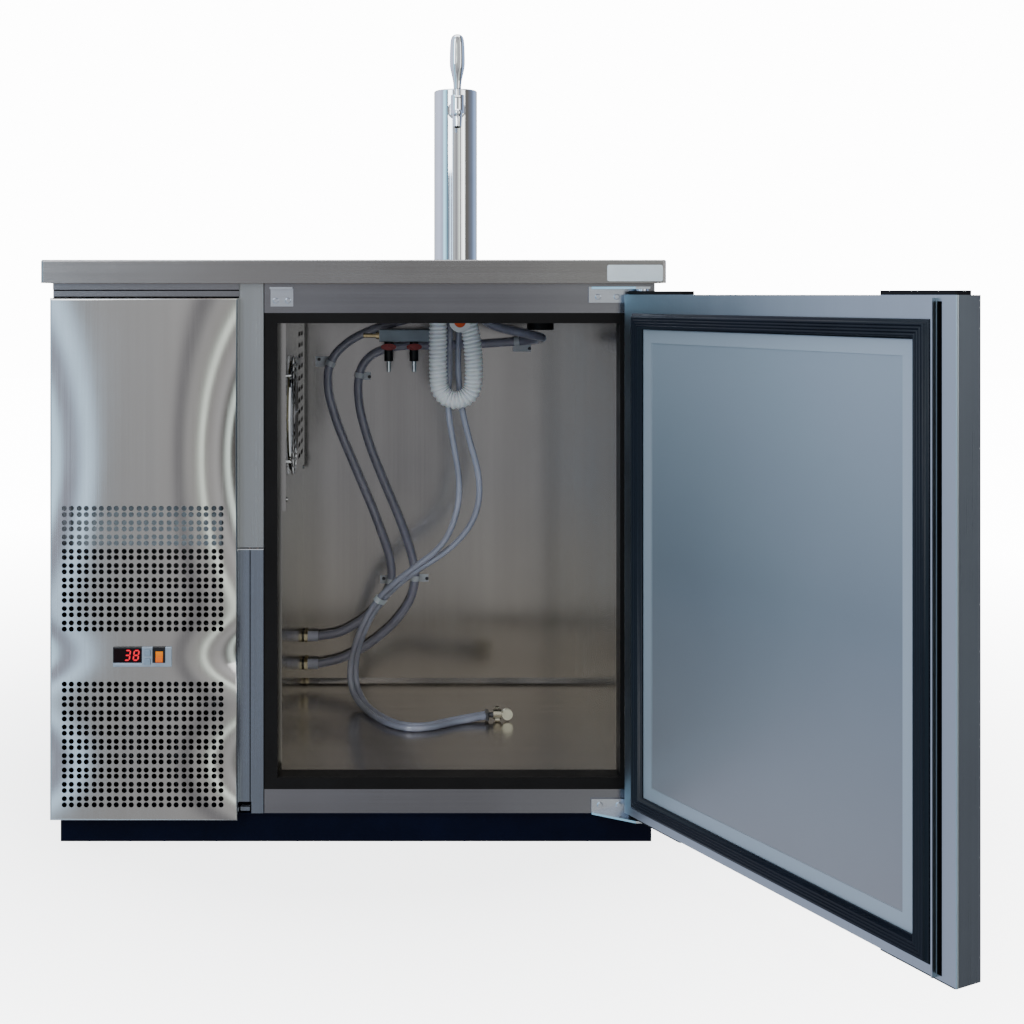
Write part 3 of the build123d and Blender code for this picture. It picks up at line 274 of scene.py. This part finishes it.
# the door stands open at rest: its pivot, the way it runs from there, and the way its outer face looks
DOOR_OPEN = math.radians(117.3)
PIVOT = Vector((442, -347, 0)) * MM
ALONG = Vector((-math.cos(DOOR_OPEN), -math.sin(DOOR_OPEN), 0))
OUTWARD = Vector((-ALONG.y, ALONG.x, 0))
LINER_U, LINER_Z = (0.051, 0.536), (0.115, 0.779)  # the liner's recessed field, along the door and up


def make_liner_material():
    """The door's inner liner: a pale rim round a smooth field with painted reflections, lighter and bluer
    towards the top, brownish at the bottom and darkest towards its middle.
    """
    g = Graph("door_liner", (0.25, 0.29, 0.325), Metallic=0.3, Coat_Weight=0.25, Coat_Roughness=0.2)
    reach = g.add("VectorMath", {0: g.place(), 1: tuple(ALONG)}, operation="DOT_PRODUCT").outputs["Value"]
    along = g.math("SUBTRACT", reach, PIVOT.dot(ALONG))
    height = g.axis("Z")
    field = g.math("MULTIPLY", g.inside(along, *LINER_U, 0.001), g.inside(height, *LINER_Z, 0.001))
    # painted reflections: the field's colour by height stands in for the room mirrored in the liner
    upper = g.blend(g.span(height, 0, 1, 0.45, 0.80), (0.150, 0.182, 0.212), (0.27, 0.32, 0.37))
    lower = g.blend(g.span(height, 0, 1, 0.10, 0.42), (0.23, 0.22, 0.23), (0.160, 0.187, 0.218))
    tone = g.blend(g.span(height, 0, 1, 0.40, 0.48), lower, upper)
    drift = g.noise(2.2, 3.0)
    drifted = g.blend(g.span(drift, 0, 0.3, 0.2, 0.8), tone, (0.30, 0.34, 0.38))
    color = g.blend(field, (0.33, 0.38, 0.43), drifted)
    fine = g.noise(260.0)
    return g.feed(Base_Color=color, Roughness=g.span(fine, 0.28, 0.34), Normal=g.bump(fine, 0.00002))


def make_duct_material():
    """White plastic ribs with painted shade in the folds, cooler and darker there."""
    g = Graph("duct_plastic", (0.74, 0.77, 0.79), Subsurface_Weight=0.1)
    ridge = g.span(g.add("NewGeometry").outputs["Pointiness"], 0, 1, 0.40, 0.49)
    # painted shade: dark blue-grey in the folds and near-white on the ridges, by pointiness
    tone = g.blend(ridge, (0.24, 0.28, 0.32), (0.93, 0.95, 0.96))
    return g.feed(Base_Color=tone, Roughness=g.span(ridge, 0.5, 0.32), Normal=g.bump(g.noise(500.0), 0.00003))


def lit_top(g):
    """A mask that grows towards the top of the rocker switch."""
    return g.span(g.axis("Z"), 0, 0.8, 0.293, 0.304)


SILVER = (0.34, 0.40, 0.48)
BLACK = (0.010, 0.010, 0.012)
CHROME = (0.86, 0.88, 0.91)
FLOOR_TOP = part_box("liner_floor")[0].z + 1 * MM  # the floor sheet is 1 mm thick
# seams and edges: where they lie and their colour, painted shade in the cover's groove and painted highlights
# along the cover's top edge and the floor's upstand
# painted shade: near-black inside the cover's groove, standing in for the shade in the recess
COVER_GROOVE_SHADE = slab("X", -0.1618, -0.1602), (0.004, 0.004, 0.006)
# painted highlight: a pale blue-white line along the cover's top edge
COVER_TOP_HIGHLIGHT = slab("Z", 0.4555, 0.458), (0.9, 0.92, 0.98)
# painted highlight: a near-white band along the floor's upturned front edge
FLOOR_UPSTAND_HIGHLIGHT = slab("Z", FLOOR_TOP + 1 * MM, FLOOR_TOP + 12 * MM), (0.95, 0.90, 0.84)
WARM_FOOT = (0.12, 0.50, (0.42, 0.385, 0.325))
SILVER_LIP = slab("Z", 0.200, 0.2865)  # below the display
LAMP = disc(0.177, 0.804, 0.01)
CLIP_SCREWS = ((-0.084, 0.725), (0.014, 0.691), (0.042, 0.298), (0.126, 0.298), (0.326, 0.746))
SCREW_MARKS = [(disc(x, z, 0.0034), (0.02, 0.02, 0.025)) for x, z in CLIP_SCREWS]
MATERIALS = {
    "panel_steel": brushed("panel_steel", (0.54, 0.53, 0.525), "z", 0.105, cloud=0.09, height=panel_bulge),
    "upright_steel": brushed("upright_steel", (0.40, 0.42, 0.44), "z", 0.24, wave=0.001),
    "cover_steel": brushed(
        "cover_steel", (0.24, 0.27, 0.33), "z", 0.24, wave=0.001, lines=[COVER_GROOVE_SHADE, COVER_TOP_HIGHLIGHT],
    ),
    # painted reflection: the rails' steel is a darker copy, standing in for the dark surroundings they mirror
    "rail_steel_dark_reflection": brushed("rail_steel_dark_reflection", (0.25, 0.25, 0.275), "x", 0.2, wave=0.002, cloud=0.2),
    "top_steel": brushed("top_steel", (0.28, 0.27, 0.27), "x", 0.24, wave=0.0005),
    "liner_steel": brushed(
        "liner_steel", (0.36, 0.355, 0.355), "z", 0.16, wave=0.0012, cloud=0.16, foot=WARM_FOOT,
    ),
    "floor_steel": brushed(
        "floor_steel", (0.45, 0.42, 0.39), "x", 0.2, wave=0.002, cloud=0.15, lines=[FLOOR_UPSTAND_HIGHLIGHT],
    ),
    "door_steel": brushed("door_steel", (0.38, 0.42, 0.45), "z", 0.3, wave=0.0005, cloud=0.05),
    "bracket_steel": brushed("bracket_steel", (0.62, 0.66, 0.74), "x", 0.2),
    "galvanised": brushed("galvanised", (0.48, 0.49, 0.5), "z", 0.42, cloud=0.2),
    "aluminium": brushed("aluminium", (0.60, 0.61, 0.62), "z", 0.38),
    # painted shade: the condenser fins are near-black, standing in for the shade behind the grille
    "painted_shade_fins": brushed("painted_shade_fins", (0.05, 0.052, 0.056), "z", 0.5),
    "chrome": polished("chrome", CHROME, 0.03),
    "copper": polished("copper", (0.78, 0.42, 0.27), 0.25),
    "black_plastic": moulded("black_plastic", (0.008, 0.007, 0.007), 0.4, IOR=1.2),
    "black_paint": painted("black_paint", (0.001, 0.002, 0.010), 0.35, ior=1.16),
    "grey_paint": painted("grey_paint", (0.36, 0.41, 0.45), 0.4),
    "gasket": moulded("gasket", (0.004, 0.006, 0.011), 0.36, grain=500.0, IOR=1.28),
    "door_liner": make_liner_material(),
    "duct_plastic": make_duct_material(),
    "white_plastic": moulded("white_plastic", (0.72, 0.75, 0.77), 0.35, Subsurface_Weight=0.1),
    "red_plastic": moulded("red_plastic", (0.30, 0.006, 0.010), 0.3),
    "foam": moulded("foam", (0.72, 0.64, 0.42), 0.8, grain=300.0, depth=0.0004),
    "board": moulded("board", (0.45, 0.32, 0.2), 0.7),
    "display": moulded("display", (0.006, 0.001, 0.002), 0.15, IOR=1.25, marks=[(SILVER_LIP, SILVER)]),
    "keypad": moulded("keypad", (0.20, 0.26, 0.33), 0.35),
    "digit_red": moulded(
        "digit_red", (0.3, 0.0, 0.01), 0.4, Emission_Color=(1, 0.0, 0.02, 1), Emission_Strength=1.1,
    ),
    "amber": moulded(
        "amber", (0.60, 0.10, 0.001), 0.25, marks=[(lit_top, (0.90, 0.28, 0.004))],
        IOR=1.3, Emission_Color=(1, 0.20, 0.0, 1), Emission_Strength=0.2,
    ),
    "gas_vinyl": tubing("gas_vinyl", (0.42, 0.41, 0.52), 0.10, through=0.25, shade=0.8),
    "beer_vinyl": tubing("beer_vinyl", (0.66, 0.68, 0.82), 0.07, through=0.55, shade=0.7),
    "clip": moulded("clip", (0.60, 0.62, 0.66), 0.35, marks=SCREW_MARKS),
    # a black housing with a silver bar between display and switch, a silver right end and a silver lip
    "controller": parted(
        "controller",
        [
            (slab("X", -0.3245, -0.3085), SILVER, 0.3, 0.3),
            (slab("X", -0.2885, -0.200), SILVER, 0.3, 0.25),
            (SILVER_LIP, SILVER, 0.3, 0.25),
        ],
        BLACK, 0.0, 0.25,
    ),
    # a grey bar, black valve bodies, chrome tails under them and a brass inlet on the left
    "manifold": parted(
        "manifold",
        [
            (slab("Z", 0.7245, 0.7622), BLACK, 0.0, 0.3),
            (slab("Z", 0.60, 0.7245), CHROME, 1.0, 0.1),
            (slab("X", -0.10, 0.0342), (0.75, 0.62, 0.38), 1.0, 0.25),
        ],
        (0.34, 0.40, 0.46), 0.1, 0.35,
    ),
    # dark flanges on the wall, brass nuts and tails in the colour of the hoses
    "gas_fittings": parted(
        "gas_fittings",
        [
            (slab("X", -0.1052, 0.0), (0.52, 0.52, 0.62), 0.0, 0.25),
            (slab("X", -0.1122, -0.1052), (0.70, 0.64, 0.45), 1.0, 0.25),
        ],
        (0.05, 0.05, 0.045), 0.8, 0.3,
    ),
    "collar": parted("collar", [(LAMP, (0.80, 0.10, 0.02), 0.0, 0.35)], (0.84, 0.84, 0.83), 0.0, 0.3),
    # a dark boot, a brass wing nut and a paler tail
    "keg_coupler": parted(
        "keg_coupler",
        [
            (slab("X", 0.20, 0.2381), (0.10, 0.10, 0.11), 0.6, 0.3),
            (slab("X", 0.2521, 0.30), (0.80, 0.76, 0.62), 0.6, 0.25),
        ],
        (0.62, 0.57, 0.45), 1.0, 0.25,
    ),
}

NODE_FINISH = {
    "plinth": "black_paint",
    "outer_shell": "upright_steel",
    "insulation": "foam",
    "liner_walls": "liner_steel",
    "liner_floor": "floor_steel",
    "liner_ceiling": "liner_steel",
    "front_frame": "rail_steel_dark_reflection",
    "mullion": "upright_steel",
    "mullion_cover": "cover_steel",
    "breaker_frame": "black_plastic",
    "countertop": "top_steel",
    "countertop_core": "board",
    "label_plate": "white_plastic",
    "grille_panel": "panel_steel",
    "controller_housing": "controller",
    "display_window": "display",
    "machine_rear_panel": "galvanised",
    "power_inlet": "black_plastic",
    "condenser_coil": "painted_shade_fins",
    "condenser_fan_shroud": "black_paint",
    "compressor": "black_paint",
    "electrical_box": "grey_paint",
    "copper_lines": "copper",
    "evaporator_housing": "grey_paint",
    "evaporator_coil": "aluminium",
    "evaporator_cover": "liner_steel",
    "fan_guard": "chrome",
    "tower_column": "chrome",
    "tower_cap": "chrome",
    "faucet_body": "chrome",
    "gas_manifold": "manifold",
    "bulkhead_fittings": "gas_fittings",
    "pipe_clips": "clip",
    "gas_hose_a": "gas_vinyl",
    "gas_hose_b": "gas_vinyl",
    "ceiling_fittings": "black_plastic",
    "tower_light": "collar",
    "keg_nut": "keg_coupler",
    "line_tie": "white_plastic",
    "hinge_brackets": "bracket_steel",
    "floor_screws": "chrome",
    "door_skin": "door_steel",
    "door_foam": "foam",
    "door_liner": "door_liner",
    "thermal_break": "black_plastic",
    "door_edge_plates": "black_plastic",
    "tap_lever": "chrome",
    "valve_lever_left": "red_plastic",
    "valve_lever_right": "red_plastic",
    "evaporator_fan": "black_plastic",
    "condenser_fan": "aluminium",
    "rocker_switch": "amber",
    "key_up": "keypad",
    "key_down": "keypad",
}


def paint(obj, material):
    """Give a CAD node one material in place of those it came with."""
    if obj.data.materials:
        for index in range(len(obj.data.materials)):
            obj.data.materials[index] = material
    else:
        obj.data.materials.append(material)


for node, finish in NODE_FINISH.items():
    paint(NODES[node], MATERIALS[finish])


def new_mesh(name, vertices, faces, material, body, smooth=True):
    """A piece with its faces turned outwards, riding on a body."""
    mesh = bpy.data.meshes.new(name)
    mesh.from_pydata(vertices, [], faces)
    mesh.validate()
    built = bmesh.new()
    built.from_mesh(mesh)
    bmesh.ops.recalc_face_normals(built, faces=built.faces)
    built.to_mesh(mesh)
    built.free()
    for polygon in mesh.polygons:
        polygon.use_smooth = smooth
    obj = bpy.data.objects.new(name, mesh)
    bpy.context.collection.objects.link(obj)
    mesh.materials.append(material)
    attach(obj, body)
    return obj


# ---- cords: the same points as the CAD routes ----
DUCT_ROUTE = metres([
    (141, -14, 831),
    (139.8, -14, 794),
    (139.2, -14, 750),
    (139.5, -14, 713),
    (141.5, -14, 684.2),
    (153.3, -14, 669.8),
    (171.2, -14, 664.3),
    (189.1, -14, 669.8),
    (201, -14, 684.2),
    (203.2, -14, 713),
    (201.8, -14, 750),
    (196, -14, 794),
    (186, -14, 830),
])
LINE_1_ROUTE = metres([
    (163, 18, 832),
    (161, 18, 770),
    (161, 17, 712),
    (157, 15, 650),
    (167, 15, 590),
    (179, 20, 525),
    (178, 30, 475),
    (164, 44, 424),
    (141, 54, 389),
    (100, 65, 357),
    (64, 75, 328),
    (34, 84, 297),
    (9, 94, 257),
    (-9, 104, 210),
    (-20, 112, 163),
    (-17, 108, 122),
    (2, 76, 101),
    (24, 20, 100.7),
    (50, -30, 100.8),
    (86, -60, 100.7),
    (127, -53, 100.8),
    (160, -26, 100.7),
    (193, -7, 101.5),
    (224, 0.5, 105),
])
LINE_2_ROUTE = metres([
    (179, 20, 832),
    (177, 20, 770),
    (176, 19, 712),
    (182, 18, 650),
    (196, 18, 593),
    (211, 24, 543),
    (217, 33, 495),
    (208, 47, 449),
    (184, 58, 410),
    (148, 66, 378),
    (106, 74, 351),
    (70, 84, 322),
    (40, 93, 291),
    (16, 103, 252),
    (-1, 113, 208),
    (-10, 121, 163),
    (-7, 117, 124),
    (11, 84, 101),
    (35, 25, 100.7),
    (62, -24, 100.8),
    (91, -45, 100.7),
    (122, -40, 100.8),
    (153, -16, 100.7),
    (188, 4, 101.5),
    (224, 13.5, 105),
])
BEER_LINE = 11.1 * MM
DUCT = 33.0 * MM


def spline_curve(name, route, radius=0.0):
    """A curve that starts and ends at the route's ends and is drawn towards the points between."""
    data = bpy.data.curves.new(name, "CURVE")
    data.dimensions = "3D"
    data.resolution_u = 12
    spline = data.splines.new("NURBS")
    spline.points.add(len(route) - 1)
    for point, place in zip(spline.points, route):
        point.co = (*place, 1)
    spline.order_u = 3
    spline.use_endpoint_u = True
    data.bevel_depth = radius
    data.bevel_resolution = 6
    data.use_fill_caps = True
    obj = bpy.data.objects.new(name, data)
    bpy.context.collection.objects.link(obj)
    return obj


def centreline(name, route):
    """Points along a route's spline, read from the curve with no bevel."""
    guide = spline_curve(name, route)
    mesh = bpy.data.meshes.new_from_object(guide)
    points = [vertex.co.copy() for vertex in mesh.vertices]
    bpy.data.objects.remove(guide)
    bpy.data.meshes.remove(mesh)
    return points


def line_length(points):
    return sum((b - a).length for a, b in zip(points, points[1:]))


def make_beer_line(name, route):
    length = line_length(centreline(name + "_guide", route))
    line = spline_curve(name + "_tube", route, BEER_LINE / 2)
    line.data.materials.append(MATERIALS["beer_vinyl"])
    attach(line, "cabinet")
    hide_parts(name)


def make_duct():
    """A corrugated hose: a tube whose radius rises and falls along a helix, so the ribs lean a little."""
    path = centreline("duct_guide", DUCT_ROUTE)
    length = line_length(path)
    pitch, depth, per_rib, around, sharpness = 7.0 * MM, 2.2 * MM, 8, 48, 0.8
    rings = int(length / pitch) * per_rib
    vertices, faces = [], []
    side = Vector((0, 1, 0))
    travelled, segment = 0.0, 0
    for index in range(rings + 1):
        target = length * index / rings
        while segment < len(path) - 2 and travelled + (path[segment + 1] - path[segment]).length < target:
            travelled += (path[segment + 1] - path[segment]).length
            segment += 1
        step = path[segment + 1] - path[segment]
        middle = path[segment] + step * ((target - travelled) / step.length)
        before = path[max(segment - 2, 0)]
        after = path[min(segment + 3, len(path) - 1)]
        along = (after - before).normalized()
        out = along.cross(side).normalized()
        for turn in range(around):
            angle = 2 * math.pi * turn / around
            phase = 2 * math.pi * index / per_rib + angle
            swell = 0.5 + 0.5 * math.cos(phase)
            radius = DUCT / 2 - depth * (1 - swell**sharpness)
            vertices.append(middle + (side * math.sin(angle) + out * math.cos(angle)) * radius)
    for index in range(rings):
        for turn in range(around):
            after_turn = (turn + 1) % around
            a, b = index * around, (index + 1) * around
            faces.append((a + turn, a + after_turn, b + after_turn, b + turn))
    faces.append(tuple(range(around)))
    faces.append(tuple(reversed(range(rings * around, (rings + 1) * around))))
    duct = new_mesh("duct_hose_tube", vertices, faces, MATERIALS["duct_plastic"], "cabinet")
    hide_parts("duct_hose")


make_duct()
make_beer_line("beer_line_1", LINE_1_ROUTE)
make_beer_line("beer_line_2", LINE_2_ROUTE)


# ---- door gasket: a ribbed profile swept round the door ----
def door_point(u, y, z):
    """A place on the door in millimetres: along it from the pivot, outward, and up."""
    return PIVOT + (ALONG * u + OUTWARD * y + Vector((0, 0, z))) * MM


def make_gasket():
    low_u, high_u, low_z, high_z = 7.0, 580.0, 71.0, 823.0
    width, rise, seat = 24.0, 10.0, -21.5
    waves, steps, groove, first, last = 3, 18, 1.5, 6.4, 18.8
    profile = [(0, 0), (0, 3.2), (1.4, 4.6), (3.2, 5.0), (4.2, 8.2), (5.4, 9.6)]
    for step in range(steps + 1):
        swing = math.cos(2 * math.pi * waves * step / steps)
        profile.append((first + (last - first) * step / steps, rise + groove * (swing - 1) / 2))
    profile += [(20.0, 9.4), (21.2, 7.6), (22.0, 4.6), (23.2, 4.2), (width, 3.0), (width, 0)]
    vertices, faces = [], []
    count = len(profile)
    for across, height in profile:
        y = seat - height
        for u, z in (
            (low_u + across, low_z + across),
            (high_u - across, low_z + across),
            (high_u - across, high_z - across),
            (low_u + across, high_z - across),
        ):
            vertices.append(door_point(u, y, z))
    for row in range(count):
        after = (row + 1) % count
        for corner in range(4):
            turned = (corner + 1) % 4
            faces.append((row * 4 + corner, row * 4 + turned, after * 4 + turned, after * 4 + corner))
    gasket = new_mesh("gasket_profile", vertices, faces, MATERIALS["gasket"], "door")
    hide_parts("door_gasket")


make_gasket()


# ---- tap handle: a fluted chrome grip ----
def make_tap_handle():
    low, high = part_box("tap_handle")
    centre_x, centre_y = (low.x + high.x) / 2, (low.y + high.y) / 2
    # share of the height, radius and flute depth in millimetres
    stations = [
        (0.0, 6.0, 0.0), (0.0, 6.6, 0.0), (0.03, 6.8, 0.0), (0.12, 7.2, 0.0), (0.2, 8.6, 0.1),
        (0.3, 10.8, 0.5), (0.38, 12.6, 0.9), (0.46, 13.3, 1.2), (0.6, 13.2, 1.4), (0.75, 12.7, 1.3),
        (0.86, 12.1, 1.0), (0.93, 11.0, 0.5), (0.97, 8.6, 0.1), (0.99, 5.6, 0.0), (1.0, 2.0, 0.0),
    ]
    around, flutes, sharpness = 72, 6, 1.5
    vertices, faces = [], []
    for share, radius, depth in stations:
        z = low.z + share * (high.z - low.z)
        for turn in range(around):
            angle = 2 * math.pi * turn / around
            cut = depth * (0.5 - 0.5 * math.cos(flutes * angle)) ** sharpness
            reach = (radius - cut) * MM
            vertices.append((centre_x + reach * math.cos(angle), centre_y + reach * math.sin(angle), z))
    for row in range(len(stations) - 1):
        for turn in range(around):
            after = (turn + 1) % around
            a, b = row * around, (row + 1) * around
            faces.append((a + turn, a + after, b + after, b + turn))
    faces.append(tuple(reversed(range(around))))
    faces.append(tuple(range((len(stations) - 1) * around, len(stations) * around)))
    handle = new_mesh("tap_handle_grip", vertices, faces, MATERIALS["chrome"], "tap_handle")
    smooth = handle.modifiers.new("smooth", "SUBSURF")
    smooth.levels = smooth.render_levels = 1
    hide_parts("tap_handle")


make_tap_handle()


# ---- controller display: two seven-segment digits ----
SEGMENTS = {  # both ends of each stroke, in half widths and quarter heights from the middle
    "a": ((-1, 2), (1, 2)), "b": ((1, 2), (1, 0)), "c": ((1, 0), (1, -2)), "d": ((-1, -2), (1, -2)),
    "e": ((-1, -2), (-1, 0)), "f": ((-1, 0), (-1, 2)), "g": ((-1, 0), (1, 0)),
}
DIGITS = {"3": "abgcd", "8": "abcdefg"}


def make_digits():
    low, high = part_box("display_window")
    rightward, upward, half_gap = 6 * MM, 2.6 * MM, 6.6 * MM
    middle_x, middle_z = (low.x + high.x) / 2 + rightward, (low.z + high.z) / 2 + upward
    half_width, quarter_height, stroke = 3.6 * MM, 3.7 * MM, 1.1 * MM
    thickness, notch, slant = 0.25 * MM, 0.4, 0.14
    vertices, faces = [], []
    for side, digit in ((-1, "3"), (1, "8")):
        origin_x = middle_x + side * half_gap
        for letter in DIGITS[digit]:
            (x0, z0), (x1, z1) = SEGMENTS[letter]
            start = Vector((x0 * half_width, z0 * quarter_height, 0))
            end = Vector((x1 * half_width, z1 * quarter_height, 0))
            along = (end - start).normalized()
            across = Vector((-along.y, along.x, 0)) * stroke
            start, end = start + along * notch * stroke, end - along * notch * stroke
            near, far = start + along * stroke, end - along * stroke
            outline = [start, near + across, far + across, end, far - across, near - across]
            base = len(vertices)
            for depth in (0.0, thickness):
                for corner in outline:
                    x = origin_x + corner.x + slant * corner.y
                    vertices.append((x, low.y - depth, middle_z + corner.y))
            count = len(outline)
            faces.append(tuple(base + count + corner for corner in range(count)))
            faces.append(tuple(base + corner for corner in reversed(range(count))))
            for corner in range(count):
                after = (corner + 1) % count
                faces.append((base + corner, base + after, base + count + after, base + count + corner))
    digits = new_mesh("display_digits", vertices, faces, MATERIALS["digit_red"], "cabinet", smooth=False)


make_digits()


# ---- floor, light and surroundings ----
def make_stage():
    """A pale floor that brightens away from the cabinet."""
    mesh = bpy.data.meshes.new("floor")
    reach = 12.0
    corners = [(x * reach, y * reach, 0) for x, y in ((-1, -1), (1, -1), (1, 1), (-1, 1))]
    mesh.from_pydata(corners, [], [(0, 1, 2, 3)])
    floor = bpy.data.objects.new("floor", mesh)
    bpy.context.collection.objects.link(floor)
    floor.visible_glossy = False  # the steel mirrors the room instead of this plain floor
    g = Graph("studio_floor", (0.5, 0.5, 0.5), Roughness=0.7, Emission_Color=(1, 1, 1, 1))
    away = g.add("VectorMath", {0: g.place()}, operation="LENGTH").outputs["Value"]
    glow = g.math("MULTIPLY", g.span(away, 3.5, 14.0, 0.5, 3.0), g.add("LightPath").outputs["Is Camera Ray"])
    tone = g.blend(g.noise(2.0), (0.49, 0.49, 0.5), (0.52, 0.52, 0.52))
    mesh.materials.append(g.feed(Base_Color=tone, Emission_Strength=glow))


# colour of the room round the cabinet, by degrees from straight in front of it towards its right
SURROUND = [
    (-180, 0.55, 0.58, 0.62), (-100, 0.72, 0.78, 1.00), (-76, 0.50, 0.53, 0.70),
    (-67, 0.70, 1.30, 1.60), (-62, 0.70, 1.30, 1.60), (-45, 0.10, 0.16, 0.21),
    (-34, 0.40, 0.46, 0.56), (-32, 1.20, 1.75, 2.20), (-29, 1.20, 1.75, 2.20), (-27, 0.44, 0.44, 0.52),
    (-22, 0.40, 0.44, 0.54), (-20, 1.10, 1.50, 1.90), (-18, 1.10, 1.50, 1.90), (-16, 0.40, 0.41, 0.42),
    (-4, 0.50, 0.50, 0.50), (-1, 0.24, 0.235, 0.25), (2, 0.24, 0.24, 0.25),
    (6, 0.50, 0.50, 0.50), (11, 0.44, 0.43, 0.42), (14, 0.55, 0.60, 0.55), (16, 1.50, 1.65, 1.50),
    (18, 1.50, 1.65, 1.50), (20, 0.36, 0.35, 0.34), (31, 0.60, 0.60, 0.60),
    (38, 0.16, 0.155, 0.15), (43, 1.30, 1.50, 1.40), (45, 1.30, 1.50, 1.40), (46, 0.13, 0.125, 0.12),
    (64, 0.13, 0.12, 0.11), (96, 0.16, 0.19, 0.26), (116, 0.32, 0.45, 0.70), (180, 0.55, 0.58, 0.62),
]
BRIGHTEST = 2.2  # the ramp holds colours up to 1, so they are stored as shares of this
ROOM_STRENGTH, BACKDROP_STRENGTH = 1.45, 14.0
HEIGHT_LEVELS = ((0.36, 0.75), (0.60, 1.0))  # the room is dimmer towards the floor; 0.5 is level


def make_world():
    """The room for reflections and light, and a white backdrop for what the viewer sees directly."""
    world = bpy.data.worlds.new("studio")
    world.use_nodes = True
    bpy.context.scene.world = world
    tree = world.node_tree
    tree.nodes.clear()

    def add(kind, **settings):
        node = tree.nodes.new("ShaderNode" + kind)
        for key, value in settings.items():
            setattr(node, key, value)
        return node

    link = tree.links.new
    direction = add("TexCoord").outputs["Generated"]
    split = add("SeparateXYZ")
    link(direction, split.inputs[0])
    back = add("Math", operation="MULTIPLY")
    link(split.outputs["Y"], back.inputs[0])
    back.inputs[1].default_value = -1
    angle = add("Math", operation="ARCTAN2")
    link(split.outputs["X"], angle.inputs[0])
    link(back.outputs[0], angle.inputs[1])
    share = add("MapRange")
    share.inputs["From Min"].default_value, share.inputs["From Max"].default_value = -math.pi, math.pi
    link(angle.outputs[0], share.inputs["Value"])
    ramp = add("ValToRGB")
    stops = ramp.color_ramp.elements
    while len(stops) < len(SURROUND):
        stops.new(0.5)
    for stop, (degrees, *color) in zip(stops, SURROUND):
        stop.position = (degrees + 180) / 360
        stop.color = (*[part / BRIGHTEST for part in color], 1)
    link(share.outputs["Result"], ramp.inputs[0])
    height = add("ValToRGB")
    for stop, (place, level) in zip(height.color_ramp.elements, HEIGHT_LEVELS):
        stop.position = place
        stop.color = (level, level, level, 1)
    lifted = add("MapRange")
    lifted.inputs["From Min"].default_value = -1
    link(split.outputs["Z"], lifted.inputs["Value"])
    link(lifted.outputs["Result"], height.inputs[0])
    shaded = add("Mix", data_type="RGBA", blend_type="MULTIPLY")
    shaded.inputs["Factor"].default_value = 1
    link(ramp.outputs[0], shaded.inputs[6])
    link(height.outputs[0], shaded.inputs[7])
    room, plain = add("Background"), add("Background")
    link(shaded.outputs[2], room.inputs["Color"])
    room.inputs["Strength"].default_value = ROOM_STRENGTH * BRIGHTEST
    plain.inputs["Color"].default_value = (1, 1, 1, 1)
    plain.inputs["Strength"].default_value = BACKDROP_STRENGTH
    path, mix, out = add("LightPath"), add("MixShader"), add("OutputWorld")
    link(path.outputs["Is Camera Ray"], mix.inputs[0])
    link(room.outputs[0], mix.inputs[1])
    link(plain.outputs[0], mix.inputs[2])
    link(mix.outputs[0], out.inputs["Surface"])


def area_light(name, place, aim, size, power):
    data = bpy.data.lights.new(name, "AREA")
    data.shape = "RECTANGLE"
    data.size, data.size_y = size
    data.energy = power
    light = bpy.data.objects.new(name, data)
    light.location = place
    light.rotation_mode = "QUATERNION"
    light.rotation_quaternion = (Vector(aim) - Vector(place)).to_track_quat("-Z", "Y")
    bpy.context.collection.objects.link(light)


make_stage()
make_world()
area_light("key", (-1.8, -3.2, 2.4), (0.0, 0.0, 0.5), (1.6, 2.2), 60)
area_light("fill", (2.6, -3.0, 1.6), (0.1, 0.0, 0.5), (1.4, 2.0), 20)
area_light("top", (0.0, -0.4, 3.2), (0.0, 0.0, 0.5), (2.5, 1.6), 40)
